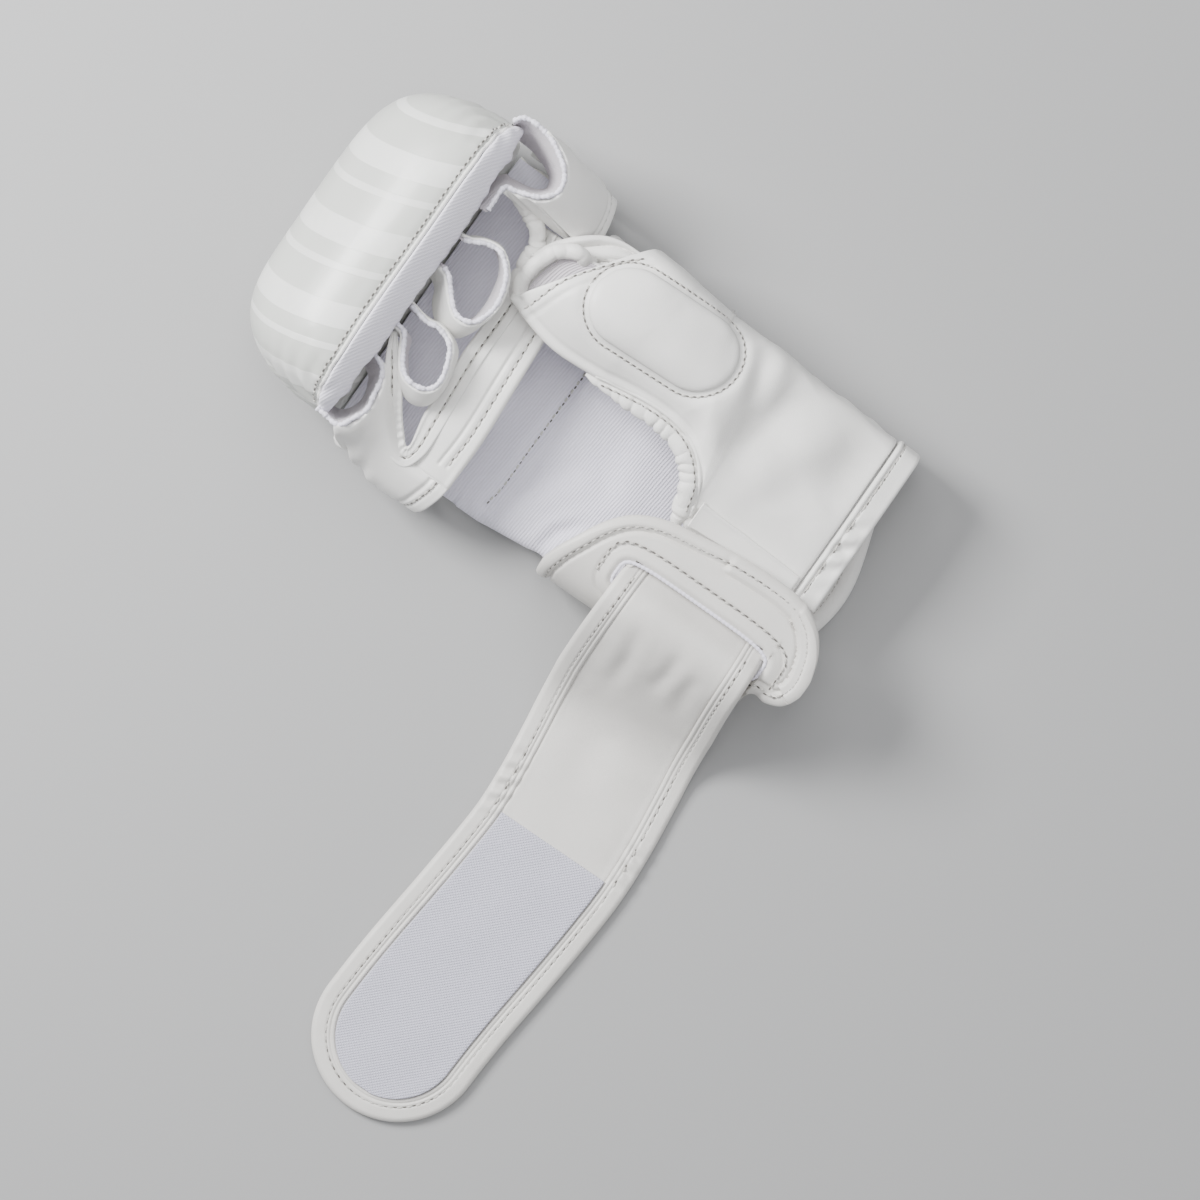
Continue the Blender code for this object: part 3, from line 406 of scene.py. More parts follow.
def through(points, share):
    """Point at a share of the way along the smooth curve through points (..., n, k)."""
    share = np.asarray(share, float)
    points = np.asarray(points, float)
    if points.ndim == 2:
        points = np.broadcast_to(points, share.shape + points.shape)
    spans = points.shape[-2] - 1
    scaled = np.clip(share, 0.0, 1.0) * spans
    first = np.minimum(scaled.astype(int), spans - 1)
    t = (scaled - first)[..., None]

    def pick(shift):
        index = np.clip(first + shift, 0, spans)[..., None, None]
        return np.take_along_axis(points, index, axis=-2)[..., 0, :]

    a, b, c, d = (pick(shift) for shift in (-1, 0, 1, 2))
    a = np.where((first == 0)[..., None], 2 * b - c, a)
    d = np.where((first == spans - 1)[..., None], 2 * c - b, d)
    bend = (2 * a - 5 * b + 4 * c - d) * t ** 2
    return 0.5 * (2 * b + (c - a) * t + bend + (3 * b - a - 3 * c + d) * t ** 3)


def unit(vectors):
    return vectors / np.maximum(np.linalg.norm(vectors, axis=-1, keepdims=True), 1e-9)


def run_along(line):
    """Distance along a line at each of its points."""
    return np.concatenate([[0], np.cumsum(np.linalg.norm(np.diff(line, axis=0), axis=1))])


def evened(line, step):
    """The same line with its points a step apart."""
    run = run_along(line)
    at = np.linspace(0, run[-1], max(2, int(round(run[-1] / step)) + 1))
    return np.stack([np.interp(at, run, line[:, k]) for k in range(line.shape[1])], -1)


def heading(line, share, step=0.004):
    """Direction of the smooth curve through a line at a share of its way."""
    return unit(through(line, np.minimum(share + step, 1)) - through(line, np.maximum(share - step, 0)))


def bell(x, middle, width):
    """Smooth bump of height 1 at the middle."""
    return np.exp(-((x - middle) / width) ** 2)


def ramp(x, start, end):
    """Straight change from 0 at the start to 1 at the end."""
    return np.clip((x - start) / (end - start), 0, 1)


def blunt(value, power):
    """Power of a sine or cosine that keeps its sign, which squares a round outline."""
    return np.sign(value) * np.abs(value) ** power


def all_round(count):
    """Angles of the corners of an even ring."""
    return np.linspace(0, 2 * math.pi, count, endpoint=False)


def raised(surface, face=1.0):
    """Give a place above a surface: share, share and height to a point; face turns it over."""
    step = 0.002

    def place(u, v, height):
        along = surface(np.minimum(u + step, 1), v) - surface(np.maximum(u - step, 0), v)
        across = surface(u, np.minimum(v + step, 1)) - surface(u, np.maximum(v - step, 0))
        facing = face * unit(np.cross(along, across))
        return surface(u, v) + np.asarray(height)[..., None] * facing

    return place


def wander(points, size):
    """Repeatable unevenness between -1 and 1, with bumps about size wide."""
    x, y, z = np.moveaxis(points / size, -1, 0)
    first = np.sin(1.7 * x + 0.9 * np.sin(1.3 * y + z))
    second = np.sin(2.1 * y + 1.1 * np.sin(1.9 * z - x))
    third = np.sin(1.3 * z + 0.8 * np.sin(1.1 * x + 2.3 * y))
    return (first + second + third) / 3


def uneven(height, size):
    """Relief of nothing but a sheet's own unevenness."""
    return lambda points, u, v: height * wander(points, size)


def away(points, line):
    """Plan distance of points from a line, and the share of the line that each is nearest."""
    start, span = line[:-1, :2], np.diff(line[:, :2], axis=0)
    flat = points[..., :2].reshape(-1, 1, 2)
    t = ((flat - start) * span).sum(-1) / np.maximum((span ** 2).sum(-1), 1e-12)
    t = np.clip(t, 0, 1)
    gap = np.linalg.norm(flat - start - t[..., None] * span, axis=-1)
    nearest = gap.argmin(1)
    each = np.arange(len(flat))
    share = (nearest + t[each, nearest]) / len(span)
    return gap[each, nearest].reshape(points.shape[:-1]), share.reshape(points.shape[:-1])


def sewn_line(name, step=0.002):
    line = sized(SEWN_LINES[name])
    return evened(through(line, np.linspace(0, 1, 80)), step)


def pressed(points, line, width, depth):
    """Groove along a plan line."""
    return -depth * bell(away(points, line)[0], 0, width)


def fold(points, line, width, depth):
    """Soft valley along a plan line, with a low crest beside it, that fades at its ends."""
    gap, share = away(points, line)
    fade = np.sin(np.pi * np.clip(share, 0.02, 0.98)) ** 0.7
    return depth * fade * (0.35 * bell(gap, 1.9 * width, width) - bell(gap, 0, width))


def folds(points, table, step=None):
    """All folds of a table; a step evens out the points of their lines."""
    height = 0.0
    for line, width, depth in table:
        line = evened(sized(line), step) if step else sized(line)
        height = height + fold(points, line, width, depth)
    return height


def edge_shares(count, length, depth):
    """Shares along a sheet's side, with close rows at both ends for its rounded edge."""
    lip = 0.5 * depth / length * np.array([0.0, 0.15, 0.5, 1.0])
    middle = np.linspace(lip[-1], 1 - lip[-1], count)
    return np.concatenate([lip[:-1], middle, 1 - lip[-2::-1]])


def grid_quads(rows, columns, start=0):
    index = start + np.arange(rows * columns).reshape(rows, columns)
    corners = [index[:-1, :-1], index[1:, :-1], index[1:, 1:], index[:-1, 1:]]
    return np.stack(corners, -1).reshape(-1, 4)


def ring_quads(rings, sides):
    """Faces of a tube whose rings of points follow each other."""
    index = np.arange(rings * sides).reshape(rings, sides)
    after = np.roll(index, -1, axis=1)
    return np.stack([index[:-1], index[1:], after[1:], after[:-1]], -1).reshape(-1, 4)


def closed_tube(rings, sides):
    """The same faces with a cap over each end of the tube."""
    caps = [list(range(sides)), list(range((rings - 1) * sides, rings * sides))]
    return ring_quads(rings, sides).tolist() + caps


def make_piece(name, points, faces, look, stands_for=(), charts=None):
    """Make one smooth mesh piece, riding on the glove and standing for its CAD nodes."""
    mesh = bpy.data.meshes.new(name)
    corners = [[int(corner) for corner in face] for face in faces]
    mesh.from_pydata(np.asarray(points).reshape(-1, 3).tolist(), [], corners)
    shape = bmesh.new()
    shape.from_mesh(mesh)
    bmesh.ops.recalc_face_normals(shape, faces=shape.faces)
    shape.to_mesh(mesh)
    shape.free()
    if charts is not None:
        layer = mesh.uv_layers.new(name="weave")
        index = np.empty(len(mesh.loops), int)
        mesh.loops.foreach_get("vertex_index", index)
        layer.data.foreach_set("uv", np.asarray(charts, np.float32)[index].ravel())
    mesh.shade_smooth()
    mesh.materials.append(finish(look))
    piece = bpy.data.objects.new(name, mesh)
    bpy.context.scene.collection.objects.link(piece)
    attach(piece, "root")
    if stands_for:
        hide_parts(*stands_for)
    return piece


def make_sheet(name, place, cells, low, high, look, stands_for=(), relief=None,
               weave=False):
    """Make a closed sheet with rounded edges, measuring its length and width.

    place turns share, share and height into a point, and relief adds height to its upper face.
    """
    ends = np.linspace(0, 1, 25)
    lengths = place(*np.meshgrid(ends, ends, indexing="ij"), np.full((25, 25), low))
    length = np.linalg.norm(np.diff(lengths, axis=0), axis=-1).sum(0).max()
    width = np.linalg.norm(np.diff(lengths, axis=1), axis=-1).sum(1).max()
    depth = high - low
    u = edge_shares(cells[0], length, depth)
    v = edge_shares(cells[1], width, depth)
    near = np.minimum(np.minimum(u, 1 - u)[:, None] * length, np.minimum(v, 1 - v)[None] * width)
    u, v = np.meshgrid(u, v, indexing="ij")
    rim = np.clip(near / (0.5 * depth), 0, 1)
    rim = 0.22 + 0.78 * np.sqrt(1 - (1 - rim) ** 2)
    middle, half = 0.5 * (low + high), 0.5 * depth * rim
    upper = place(u, v, middle + half)
    if relief is not None:
        fade = np.clip(near / (1.5 * depth) + 0.25, 0, 1)
        upper = place(u, v, middle + half + relief(upper, u, v) * fade)
    lower = place(u, v, middle - half)
    rows, columns = u.shape
    count = rows * columns
    index = np.arange(count).reshape(rows, columns)
    ring = np.concatenate([index[:, 0], index[-1, 1:], index[-2::-1, -1], index[0, -2:0:-1]])
    after = np.roll(ring, -1)
    faces = np.concatenate([
        grid_quads(rows, columns), grid_quads(rows, columns, count),
        np.stack([ring, after, after + count, ring + count], -1),
    ])
    chart = np.stack([u * length, v * width], -1).reshape(-1, 2)
    piece = make_piece(name, np.concatenate([upper.reshape(-1, 3), lower.reshape(-1, 3)]), faces,
                       look, stands_for, np.concatenate([chart, chart]) if weave else None)
    return piece


def make_tube(name, path, radii, sides, look, stands_for=(), squash=1.0, up=(0, 0, 1)):
    """Make a closed round bar along a path, with a radius at each point and round each ring."""
    ahead = unit(np.gradient(path, axis=0))
    side = unit(np.cross(ahead, np.broadcast_to(up, path.shape)))
    top = np.cross(side, ahead)
    turn = all_round(sides)[:, None]
    radii = np.broadcast_to(np.asarray(radii).reshape(len(path), -1), (len(path), sides))
    ring = np.cos(turn) * side[:, None] + squash * np.sin(turn) * top[:, None]
    points = path[:, None] + radii[..., None] * ring
    make_piece(name, points, closed_tube(len(path), sides), look, stands_for)


def gathers(count, samples, sides, radius, depth):
    """Radii of an elastic edge: uneven creases that run slanting over it, and thinner ends."""
    share = np.linspace(0, 1, samples)[:, None]
    turn = all_round(sides)[None]
    phase = count * share + 0.30 * np.sin(7.3 * share * math.pi) + 0.20 * np.sin(19 * share)
    phase = phase + 0.17 * np.sin(turn + 5 * share) + 0.09 * np.sin(2 * turn + 40 * share)
    lobe = np.abs(np.sin(math.pi * phase)) ** 0.45
    strength = 0.75 + 0.25 * np.sin(2.9 * count * share + 1.3 * np.sin(turn))
    ends = np.minimum(1, 0.55 + 8 * np.minimum(share, 1 - share))
    uneven = 1 + 0.05 * np.sin(31 * share + turn)
    return radius * ends * uneven * (1 - depth * strength * (1 - lobe))


def tree_of(piece):
    shape = bmesh.new()
    shape.from_mesh(piece.data)
    tree = BVHTree.FromBMesh(shape)
    shape.free()
    return tree


def nearest_on(tree, spots):
    """Places on a piece's tree that are nearest to some spots, and their facings."""
    hits = [tree.find_nearest(Vector(spot)) for spot in spots]
    return np.array([hit[0] for hit in hits]), np.array([hit[1] for hit in hits])


def lifted(place, u, v, lift):
    """Points over a place at shares u and share v, and their facings."""
    v = np.full(len(u), v)
    points = place(u, v, np.full(len(u), lift))
    return points, unit(place(u, v, np.full(len(u), lift + 0.002)) - points)


def on_top(piece, line):
    """Drop a plan line onto a piece from above: its points there and their facings."""
    tree = tree_of(piece)
    hits = [tree.ray_cast(Vector((x, y, 1.0)), Vector((0, 0, -1.0))) for x, y in line[:, :2]]
    hits = [hit for hit in hits if hit[0] is not None]
    return np.array([hit[0] for hit in hits]), np.array([hit[1] for hit in hits])


# Pitch and length of the stitches in seams that are sewn in their own way
STITCH_SIZES = {
    "pad_edge_stitches": (0.0030, 0.0016),
    "lining_stitches": (0.0043, 0.0022),
    "patch_stitches": (0.0031, 0.0018),
    "palm_opening_stitches": (0.0036, 0.0022),
    "closure_plate_stitches": (0.0038, 0.0020),
}
# Rings of one stitch's thread: share of its length from its middle, width as a share of its radius
STITCH_RINGS = ((-0.5, 0.35), (-0.36, 0.95), (0.0, 1.1), (0.36, 0.95), (0.5, 0.35))
THREAD_SIDES = 6
HOLE_SIDES = 8


def sew(name, rows):
    """Sew rows of stitches: thread greyed with painted shade over the surface, and a flat dark disc of
    painted shade for the needle hole at each of its ends.

    rows holds pairs of points and facings along each seam.
    """
    pitch, length = STITCH_SIZES.get(name, (sizes().stitch_pitch, sizes().stitch_length))
    radius = sizes().thread_radius
    thread, hole_shades = [], []
    for points, facings in rows:
        both = evened(np.concatenate([points, facings * 1e-5], 1), 0.25 * pitch)
        line, facing = both[:, :3], unit(both[:, 3:])
        for start in range(0, len(line) - 5, 4):
            ahead = unit(line[start + 4] - line[start])
            up = facing[start + 1]
            aside = np.cross(up, ahead)
            middle = line[start + 2] + up * 0.25 * radius
            lean = ahead + 0.10 * aside
            for share, wide in STITCH_RINGS:
                spot = middle + lean * share * length
                spot = spot - up * radius * (0.8 * (2 * abs(share)) ** 4)
                # The thread's colour is off-white greyed with painted shade.
                thread.append([spot + wide * radius * (math.cos(t) * aside + 0.8 * math.sin(t) * up)
                               for t in all_round(THREAD_SIDES)])
            # Each needle hole is a flat dark disc whose colour is painted shade.
            end = middle + lean * 0.5 * pitch + up * 0.10 * radius
            hole_shades.append([end + 1.25 * radius * (1.5 * math.cos(t) * ahead + 0.7 * math.sin(t) * aside)
                          for t in all_round(HOLE_SIDES)])
    rings = len(STITCH_RINGS)
    faces = [[corner + dash * THREAD_SIDES for corner in face]
             for dash in range(0, len(thread), rings) for face in closed_tube(rings, THREAD_SIDES)]
    make_piece(name, thread, faces, "thread")
    discs = np.arange(len(hole_shades) * HOLE_SIDES).reshape(-1, HOLE_SIDES)
    make_piece(name + "_holes", hole_shades, discs, "hole_shade")


def welt(name, points, facings, radius=0.0007, look="leather", sink=0.25):
    """Thin raised cord of leather along a seam."""
    both = evened(np.concatenate([points, facings * 1e-5], 1), 0.0012)
    line, facing = both[:, :3], unit(both[:, 3:])
    make_tube(name, line - facing * radius * sink, np.full(len(line), radius), 8, look, up=facing)


def swell(piece, voxel, most, hold, pressure=4.0):
    """Push a padded piece out from inside with a short cloth simulation, and keep the shape.

    hold gives how far each point is held where it is, from 0 to 1.
    """
    if voxel:
        remesh = piece.modifiers.new("even", "REMESH")
        remesh.mode = "VOXEL"
        remesh.voxel_size = voxel
        settle(piece)
    start = read_points(piece)
    kept = hold(start)
    group = piece.vertex_groups.new(name="held")
    for index, weight in enumerate(kept):
        group.add([index], float(weight), "REPLACE")
    cloth = piece.modifiers.new("cloth", "CLOTH")
    cloth.settings.use_pressure = True
    cloth.settings.uniform_pressure_force = pressure
    cloth.settings.vertex_group_mass = "held"
    cloth.settings.effector_weights.gravity = 0.0
    cloth.settings.quality = 4
    cloth.collision_settings.use_collision = False
    for number in range(1, 21):
        bpy.context.scene.frame_set(number)
    settle(piece)
    bpy.context.scene.frame_set(1)
    piece.vertex_groups.clear()
    moved = read_points(piece) - start
    far = np.linalg.norm(moved, axis=1, keepdims=True)
    moved *= np.minimum(1, most / np.maximum(far, 1e-9)) * (1 - kept[:, None])
    write_points(piece, start + moved)
    piece.data.shade_smooth()


def settle(piece):
    """Apply a piece's modifiers to its mesh."""
    graph = bpy.context.evaluated_depsgraph_get()
    mesh = bpy.data.meshes.new_from_object(piece.evaluated_get(graph))
    mesh.materials.clear()
    for material in piece.data.materials:
        mesh.materials.append(material)
    piece.modifiers.clear()
    piece.data = mesh


def read_points(piece):
    points = np.empty(3 * len(piece.data.vertices))
    piece.data.vertices.foreach_get("co", points)
    return points.reshape(-1, 3)


def write_points(piece, points):
    piece.data.vertices.foreach_set("co", points.ravel())
    piece.data.update()


def facings_of(piece):
    facings = np.empty(3 * len(piece.data.vertices))
    piece.data.vertices.foreach_get("normal", facings)
    return facings.reshape(-1, 3)


def subdivide(piece):
    finer = piece.modifiers.new("finer", "SUBSURF")
    finer.levels = finer.render_levels = 1
    settle(piece)
    piece.data.shade_smooth()


class Nodes:
    """Adds nodes and links to one shader tree."""

    def __init__(self, tree):
        self.tree = tree

    def add(self, kind, **values):
        node = self.tree.nodes.new(kind)
        for name, value in values.items():
            setattr(node, name, value)
        return node

    def link(self, source, target):
        self.tree.links.new(source, target)

    def put(self, socket, value):
        """Set a socket to a number or a colour, or link what feeds it."""
        if isinstance(value, (int, float)):
            socket.default_value = value
        elif isinstance(value, tuple):
            socket.default_value = (*value, 1.0)
        else:
            self.link(value, socket)

    def math(self, operation, *values):
        node = self.add("ShaderNodeMath", operation=operation)
        for socket, value in zip(node.inputs, values):
            self.put(socket, value)
        return node.outputs[0]

    def noise(self, place, scale, detail=3.0, roughness=0.55):
        node = self.add("ShaderNodeTexNoise")
        values = {"Vector": place, "Scale": scale, "Detail": detail, "Roughness": roughness}
        for name, value in values.items():
            self.put(node.inputs[name], value)
        return node.outputs["Fac"]

    def spread(self, value, low, high, out_low=0.0, out_high=1.0):
        node = self.add("ShaderNodeMapRange")
        names = ("Value", "From Min", "From Max", "To Min", "To Max")
        for name, number in zip(names, (value, low, high, out_low, out_high)):
            self.put(node.inputs[name], number)
        return node.outputs["Result"]

    def blend(self, share, first, second):
        node = self.add("ShaderNodeMix", data_type="RGBA")
        self.link(share, node.inputs[0])
        self.put(node.inputs[6], first)
        self.put(node.inputs[7], second)
        return node.outputs[2]


def new_group(name, inputs, outputs):
    """Start a shader node group with named inputs and outputs."""
    tree = bpy.data.node_groups.new(name, "ShaderNodeTree")
    for label, kind, value in inputs:
        socket = tree.interface.new_socket(label, in_out="INPUT", socket_type=kind)
        if value is not None:
            socket.default_value = value
    for label in outputs:
        tree.interface.new_socket(label, in_out="OUTPUT", socket_type="NodeSocketFloat")
    nodes = Nodes(tree)
    return nodes, nodes.add("NodeGroupInput").outputs, nodes.add("NodeGroupOutput").inputs


def leather_grain_group():
    """Pebbled leather: fine cells over soft creases, with a slow change of tone."""
    nodes, given, out = new_group(
        "Leather Grain",
        (("Place", "NodeSocketVector", None), ("Cells per metre", "NodeSocketFloat", 1200.0)),
        ("Height", "Tone"))
    cells = nodes.add("ShaderNodeTexVoronoi", feature="DISTANCE_TO_EDGE")
    nodes.link(given["Place"], cells.inputs["Vector"])
    nodes.link(given["Cells per metre"], cells.inputs["Scale"])
    pebble = nodes.spread(cells.outputs["Distance"], 0.0, 0.35)
    crease = nodes.noise(given["Place"], nodes.math("MULTIPLY", given["Cells per metre"], 0.22), 4.0)
    height = nodes.math("ADD", nodes.math("MULTIPLY", pebble, 0.45),
                        nodes.math("MULTIPLY", crease, 0.9))
    nodes.link(height, out["Height"])
    tone = nodes.noise(given["Place"], 34.0, 5.0, 0.6)
    nodes.link(nodes.spread(tone, 0.32, 0.70), out["Tone"])
    return nodes.tree


def ribbed_weave_group():
    """Ribbed cloth: even ribs, crossed by finer threads and loosened by fuzz; its Tone is painted
    shade, darker in the valleys between the ribs, with random fuzz tone.
    """
    nodes, given, out = new_group(
        "Ribbed Weave",
        (("Place", "NodeSocketVector", None), ("Rib pitch", "NodeSocketFloat", 0.0013),
         ("Slant", "NodeSocketFloat", 0.0)),
        ("Height", "Tone"))
    parts = nodes.add("ShaderNodeSeparateXYZ")
    nodes.link(given["Place"], parts.inputs[0])
    bend = nodes.math("MULTIPLY", nodes.noise(given["Place"], 60.0, 2.0), 0.0012)
    across = nodes.math("ADD", parts.outputs["Y"],
                        nodes.math("MULTIPLY", parts.outputs["X"], given["Slant"]))
    across = nodes.math("ADD", across, bend)
    turn = nodes.math("DIVIDE", nodes.math("MULTIPLY", across, 2 * math.pi), given["Rib pitch"])
    rib = nodes.spread(nodes.math("SINE", turn), -1.0, 1.0)
    along = nodes.math("DIVIDE", nodes.math("MULTIPLY", parts.outputs["X"], 4 * math.pi),
                       given["Rib pitch"])
    knit = nodes.spread(nodes.math("SINE", along), -1.0, 1.0)
    fuzz = nodes.noise(given["Place"], 2600.0, 3.0, 0.7)
    height = nodes.math("ADD", rib, nodes.math("MULTIPLY", knit, 0.25))
    nodes.link(nodes.math("ADD", height, nodes.math("MULTIPLY", fuzz, 0.55)), out["Height"])
    # Tone: painted shade that darkens the valleys between the ribs, plus random fuzz tone.
    tone = nodes.math("ADD", nodes.math("MULTIPLY", rib, 0.55), nodes.math("MULTIPLY", fuzz, 0.6))
    nodes.link(nodes.spread(tone, 0.1, 1.0), out["Tone"])
    return nodes.tree


def handling_group():
    """Faint marks of handling: smudges that dull and darken the surface a little."""
    nodes, given, out = new_group(
        "Handling Marks",
        (("Place", "NodeSocketVector", None), ("Smudges per metre", "NodeSocketFloat", 22.0)),
        ("Mask",))
    smudge = nodes.noise(given["Place"], given["Smudges per metre"], 6.0, 0.65)
    nodes.link(nodes.spread(smudge, 0.50, 0.74), out["Mask"])
    return nodes.tree


def use_group(nodes, label, build, **values):
    node = nodes.add("ShaderNodeGroup")
    node.node_tree = bpy.data.node_groups.get(label) or build()
    for name, value in values.items():
        nodes.put(node.inputs[name.replace("_", " ")], value)
    return node.outputs


def start_material(name, roughness, sheen=0.0):
    material = bpy.data.materials.new(name)
    material.use_nodes = True
    shader = material.node_tree.nodes["Principled BSDF"]
    shader.inputs["Roughness"].default_value = roughness
    shader.inputs["Sheen Weight"].default_value = sheen
    shader.inputs["Sheen Roughness"].default_value = 0.5
    return material, Nodes(material.node_tree), shader


def put_bump(nodes, shader, height, strength, distance):
    bump = nodes.add("ShaderNodeBump")
    bump.inputs["Strength"].default_value = strength
    bump.inputs["Distance"].default_value = distance
    nodes.link(height, bump.inputs["Height"])
    nodes.link(bump.outputs["Normal"], shader.inputs["Normal"])


def object_place(nodes):
    return nodes.add("ShaderNodeTexCoord").outputs["Object"]


def shade_of(colour, factor):
    return tuple(min(1.0, channel * factor) for channel in colour)


def leather_material(name, colour, roughness, strength):
    material, nodes, shader = start_material(name, roughness)
    place = object_place(nodes)
    grain = use_group(nodes, "Leather Grain", leather_grain_group, Place=place,
                      Cells_per_metre=1.0 / sizes().grain_size)
    marks = use_group(nodes, "Handling Marks", handling_group, Place=place)
    base = nodes.blend(grain["Tone"], shade_of(colour, 0.955), shade_of(colour, 1.02))
    base = nodes.blend(marks["Mask"], base, shade_of(colour, 0.90))
    nodes.link(base, shader.inputs["Base Color"])
    nodes.link(nodes.spread(grain["Tone"], 0, 1, roughness - 0.05, roughness + 0.07),
               shader.inputs["Roughness"])
    put_bump(nodes, shader, grain["Height"], strength, 0.00022)
    return material


def gloss_leather():
    """Glossy leather with plain tonal bands that run over the pad from back to front."""
    colour, band = tuple(colours().gloss), tuple(colours().band)
    material, nodes, shader = start_material("gloss_pad_leather", 0.32)
    place = object_place(nodes)
    parts = nodes.add("ShaderNodeSeparateXYZ")
    nodes.link(place, parts.inputs[0])
    sweep = nodes.math("MULTIPLY", nodes.math("ADD", parts.outputs["Y"], parts.outputs["Z"]), 0.42)
    turn = nodes.math("MULTIPLY", nodes.math("ADD", parts.outputs["X"], sweep), 2 * math.pi / 0.034)
    wide = nodes.spread(nodes.math("SINE", turn), 0.52, 0.58)
    thin = nodes.spread(nodes.math("SINE", nodes.math("ADD", turn, 2.6)), 0.955, 0.970)
    stripe = nodes.math("MAXIMUM", wide, thin)
    grain = use_group(nodes, "Leather Grain", leather_grain_group, Place=place,
                      Cells_per_metre=900.0)
    marks = use_group(nodes, "Handling Marks", handling_group, Place=place)
    base = nodes.blend(stripe, colour, band)
    base = nodes.blend(nodes.math("MULTIPLY", marks["Mask"], 0.5), base, shade_of(colour, 0.93))
    nodes.link(base, shader.inputs["Base Color"])
    nodes.link(nodes.spread(stripe, 0, 1, 0.31, 0.40), shader.inputs["Roughness"])
    shader.inputs["Coat Weight"].default_value = 0.15
    shader.inputs["Coat Roughness"].default_value = 0.12
    raised_band = nodes.math("ADD", nodes.math("MULTIPLY", stripe, 1.2),
                             nodes.math("MULTIPLY", grain["Height"], 0.35))
    put_bump(nodes, shader, raised_band, 0.25, 0.00020)
    return material


def ribbed_cloth(name, colour, slant, strength, charted=False):
    material, nodes, shader = start_material(name, 0.88, 0.35)
    if charted:
        place = nodes.add("ShaderNodeUVMap", uv_map="weave").outputs["UV"]
    else:
        place = object_place(nodes)
    weave = use_group(nodes, "Ribbed Weave", ribbed_weave_group, Place=place, Slant=slant,
                      Rib_pitch=sizes().rib_pitch)
    marks = use_group(nodes, "Handling Marks", handling_group, Place=object_place(nodes))
    # Painted shade: the weave's Tone darkens the cloth between its ribs, and its fuzz varies the tone
    # at random.
    base = nodes.blend(weave["Tone"], shade_of(colour, 0.86), shade_of(colour, 1.05))
    base = nodes.blend(nodes.math("MULTIPLY", marks["Mask"], 0.4), base, shade_of(colour, 0.90))
    nodes.link(base, shader.inputs["Base Color"])
    put_bump(nodes, shader, weave["Height"], strength, 0.00028)
    return material


def fringe_cloth():
    """Loose cut edge of the cloth, whiter and fuzzier than its face."""
    material, nodes, shader = start_material("cut_cloth_edge", 0.92, 0.5)
    place = object_place(nodes)
    fuzz = nodes.noise(place, 1800.0, 4.0, 0.75)
    colour = tuple(colours().cloth)
    tone = nodes.spread(fuzz, 0.3, 0.7)
    nodes.link(nodes.blend(tone, shade_of(colour, 0.93), shade_of(colour, 1.12)),
               shader.inputs["Base Color"])
    put_bump(nodes, shader, fuzz, 0.8, 0.0004)
    return material


def hook_cloth():
    """Hook panel: rows of tiny hooks on a woven base."""
    material, nodes, shader = start_material("hook_panel_cloth", 0.80, 0.15)
    place = object_place(nodes)
    parts = nodes.add("ShaderNodeSeparateXYZ")
    nodes.link(place, parts.inputs[0])
    pitch = 0.00155
    rows = nodes.math("SINE", nodes.math("MULTIPLY", parts.outputs["X"], 2 * math.pi / pitch))
    hooks = nodes.math("SINE", nodes.math("MULTIPLY", parts.outputs["Y"], 2 * math.pi / pitch))
    dots = nodes.spread(nodes.math("MULTIPLY", rows, hooks), -0.2, 0.8)
    fuzz = nodes.noise(place, 1500.0, 4.0, 0.7)
    slow = nodes.noise(place, 90.0, 4.0, 0.6)
    colour = tuple(colours().hook)
    tone = nodes.math("ADD", nodes.math("MULTIPLY", dots, 0.5), nodes.math("MULTIPLY", fuzz, 0.6))
    base = nodes.blend(nodes.spread(tone, 0.1, 0.9), shade_of(colour, 0.82), shade_of(colour, 1.10))
    base = nodes.blend(nodes.spread(slow, 0.45, 0.75, 0.0, 0.5), base, shade_of(colour, 0.90))
    nodes.link(base, shader.inputs["Base Color"])
    height = nodes.math("ADD", dots, nodes.math("MULTIPLY", fuzz, 0.8))
    put_bump(nodes, shader, height, 0.7, 0.0004)
    return material


def plain_thread(name, colour, roughness):
    material, nodes, shader = start_material(name, roughness, 0.2)
    twist = nodes.noise(object_place(nodes), 2400.0, 2.0)
    nodes.link(nodes.blend(twist, shade_of(colour, 0.85), shade_of(colour, 1.1)),
               shader.inputs["Base Color"])
    put_bump(nodes, shader, twist, 0.5, 0.0001)
    return material


# How each look's material is made, and the frame's slot for its pieces
FINISHES = {
    "leather": (lambda: leather_material(
        "soft_white_leather", tuple(colours().leather), 0.46, 0.30), "leather"),
    "creased": (lambda: leather_material(
        "creased_white_leather", shade_of(colours().leather, 0.985), 0.52, 0.55), "leather"),
    "strap": (lambda: leather_material(
        "strap_leather", tuple(colours().strap), 0.44, 0.35), "leather"),
    "gloss": (gloss_leather, "gloss_leather"),
    "lining": (lambda: ribbed_cloth(
        "ribbed_lining_cloth", tuple(colours().cloth), 0.10, 0.55), "cloth"),
    "loop": (lambda: ribbed_cloth(
        "ribbed_loop_cloth", tuple(colours().inner_cloth), 0.0, 0.80, charted=True), "cloth"),
    "strip": (lambda: ribbed_cloth(
        "ribbed_strip_cloth", shade_of(colours().cloth, 1.08), 0.55, 0.35), "cloth"),
    "fringe": (fringe_cloth, "cloth"),
    "hook": (hook_cloth, "hook_cloth"),
    # Thread: off-white greyed with painted shade.
    "thread": (lambda: plain_thread("sewing_thread", tuple(colours().thread), 0.7), "leather"),
    # Needle holes: a dark colour painted as the shade inside each hole.
    "hole_shade": (lambda: plain_thread("needle_hole", tuple(colours().hole_shade), 0.9), "leather"),
    "cord": (lambda: plain_thread("knit_cord", shade_of(colours().cloth, 0.98), 0.9), "cloth"),
}
made_finishes = {}


def finish(look):
    if look not in made_finishes:
        made_finishes[look] = FINISHES[look][0]()
    return made_finishes[look]


def pad_fade(x):
    """How far the pad section keeps its reach and its height at x."""
    share = np.minimum(np.abs(x) / (PAD_HALF_SHARE * BREADTH), 0.992)
    return (1 - share ** 4.5) ** 0.4, (1 - share ** 6) ** (1 / 3)


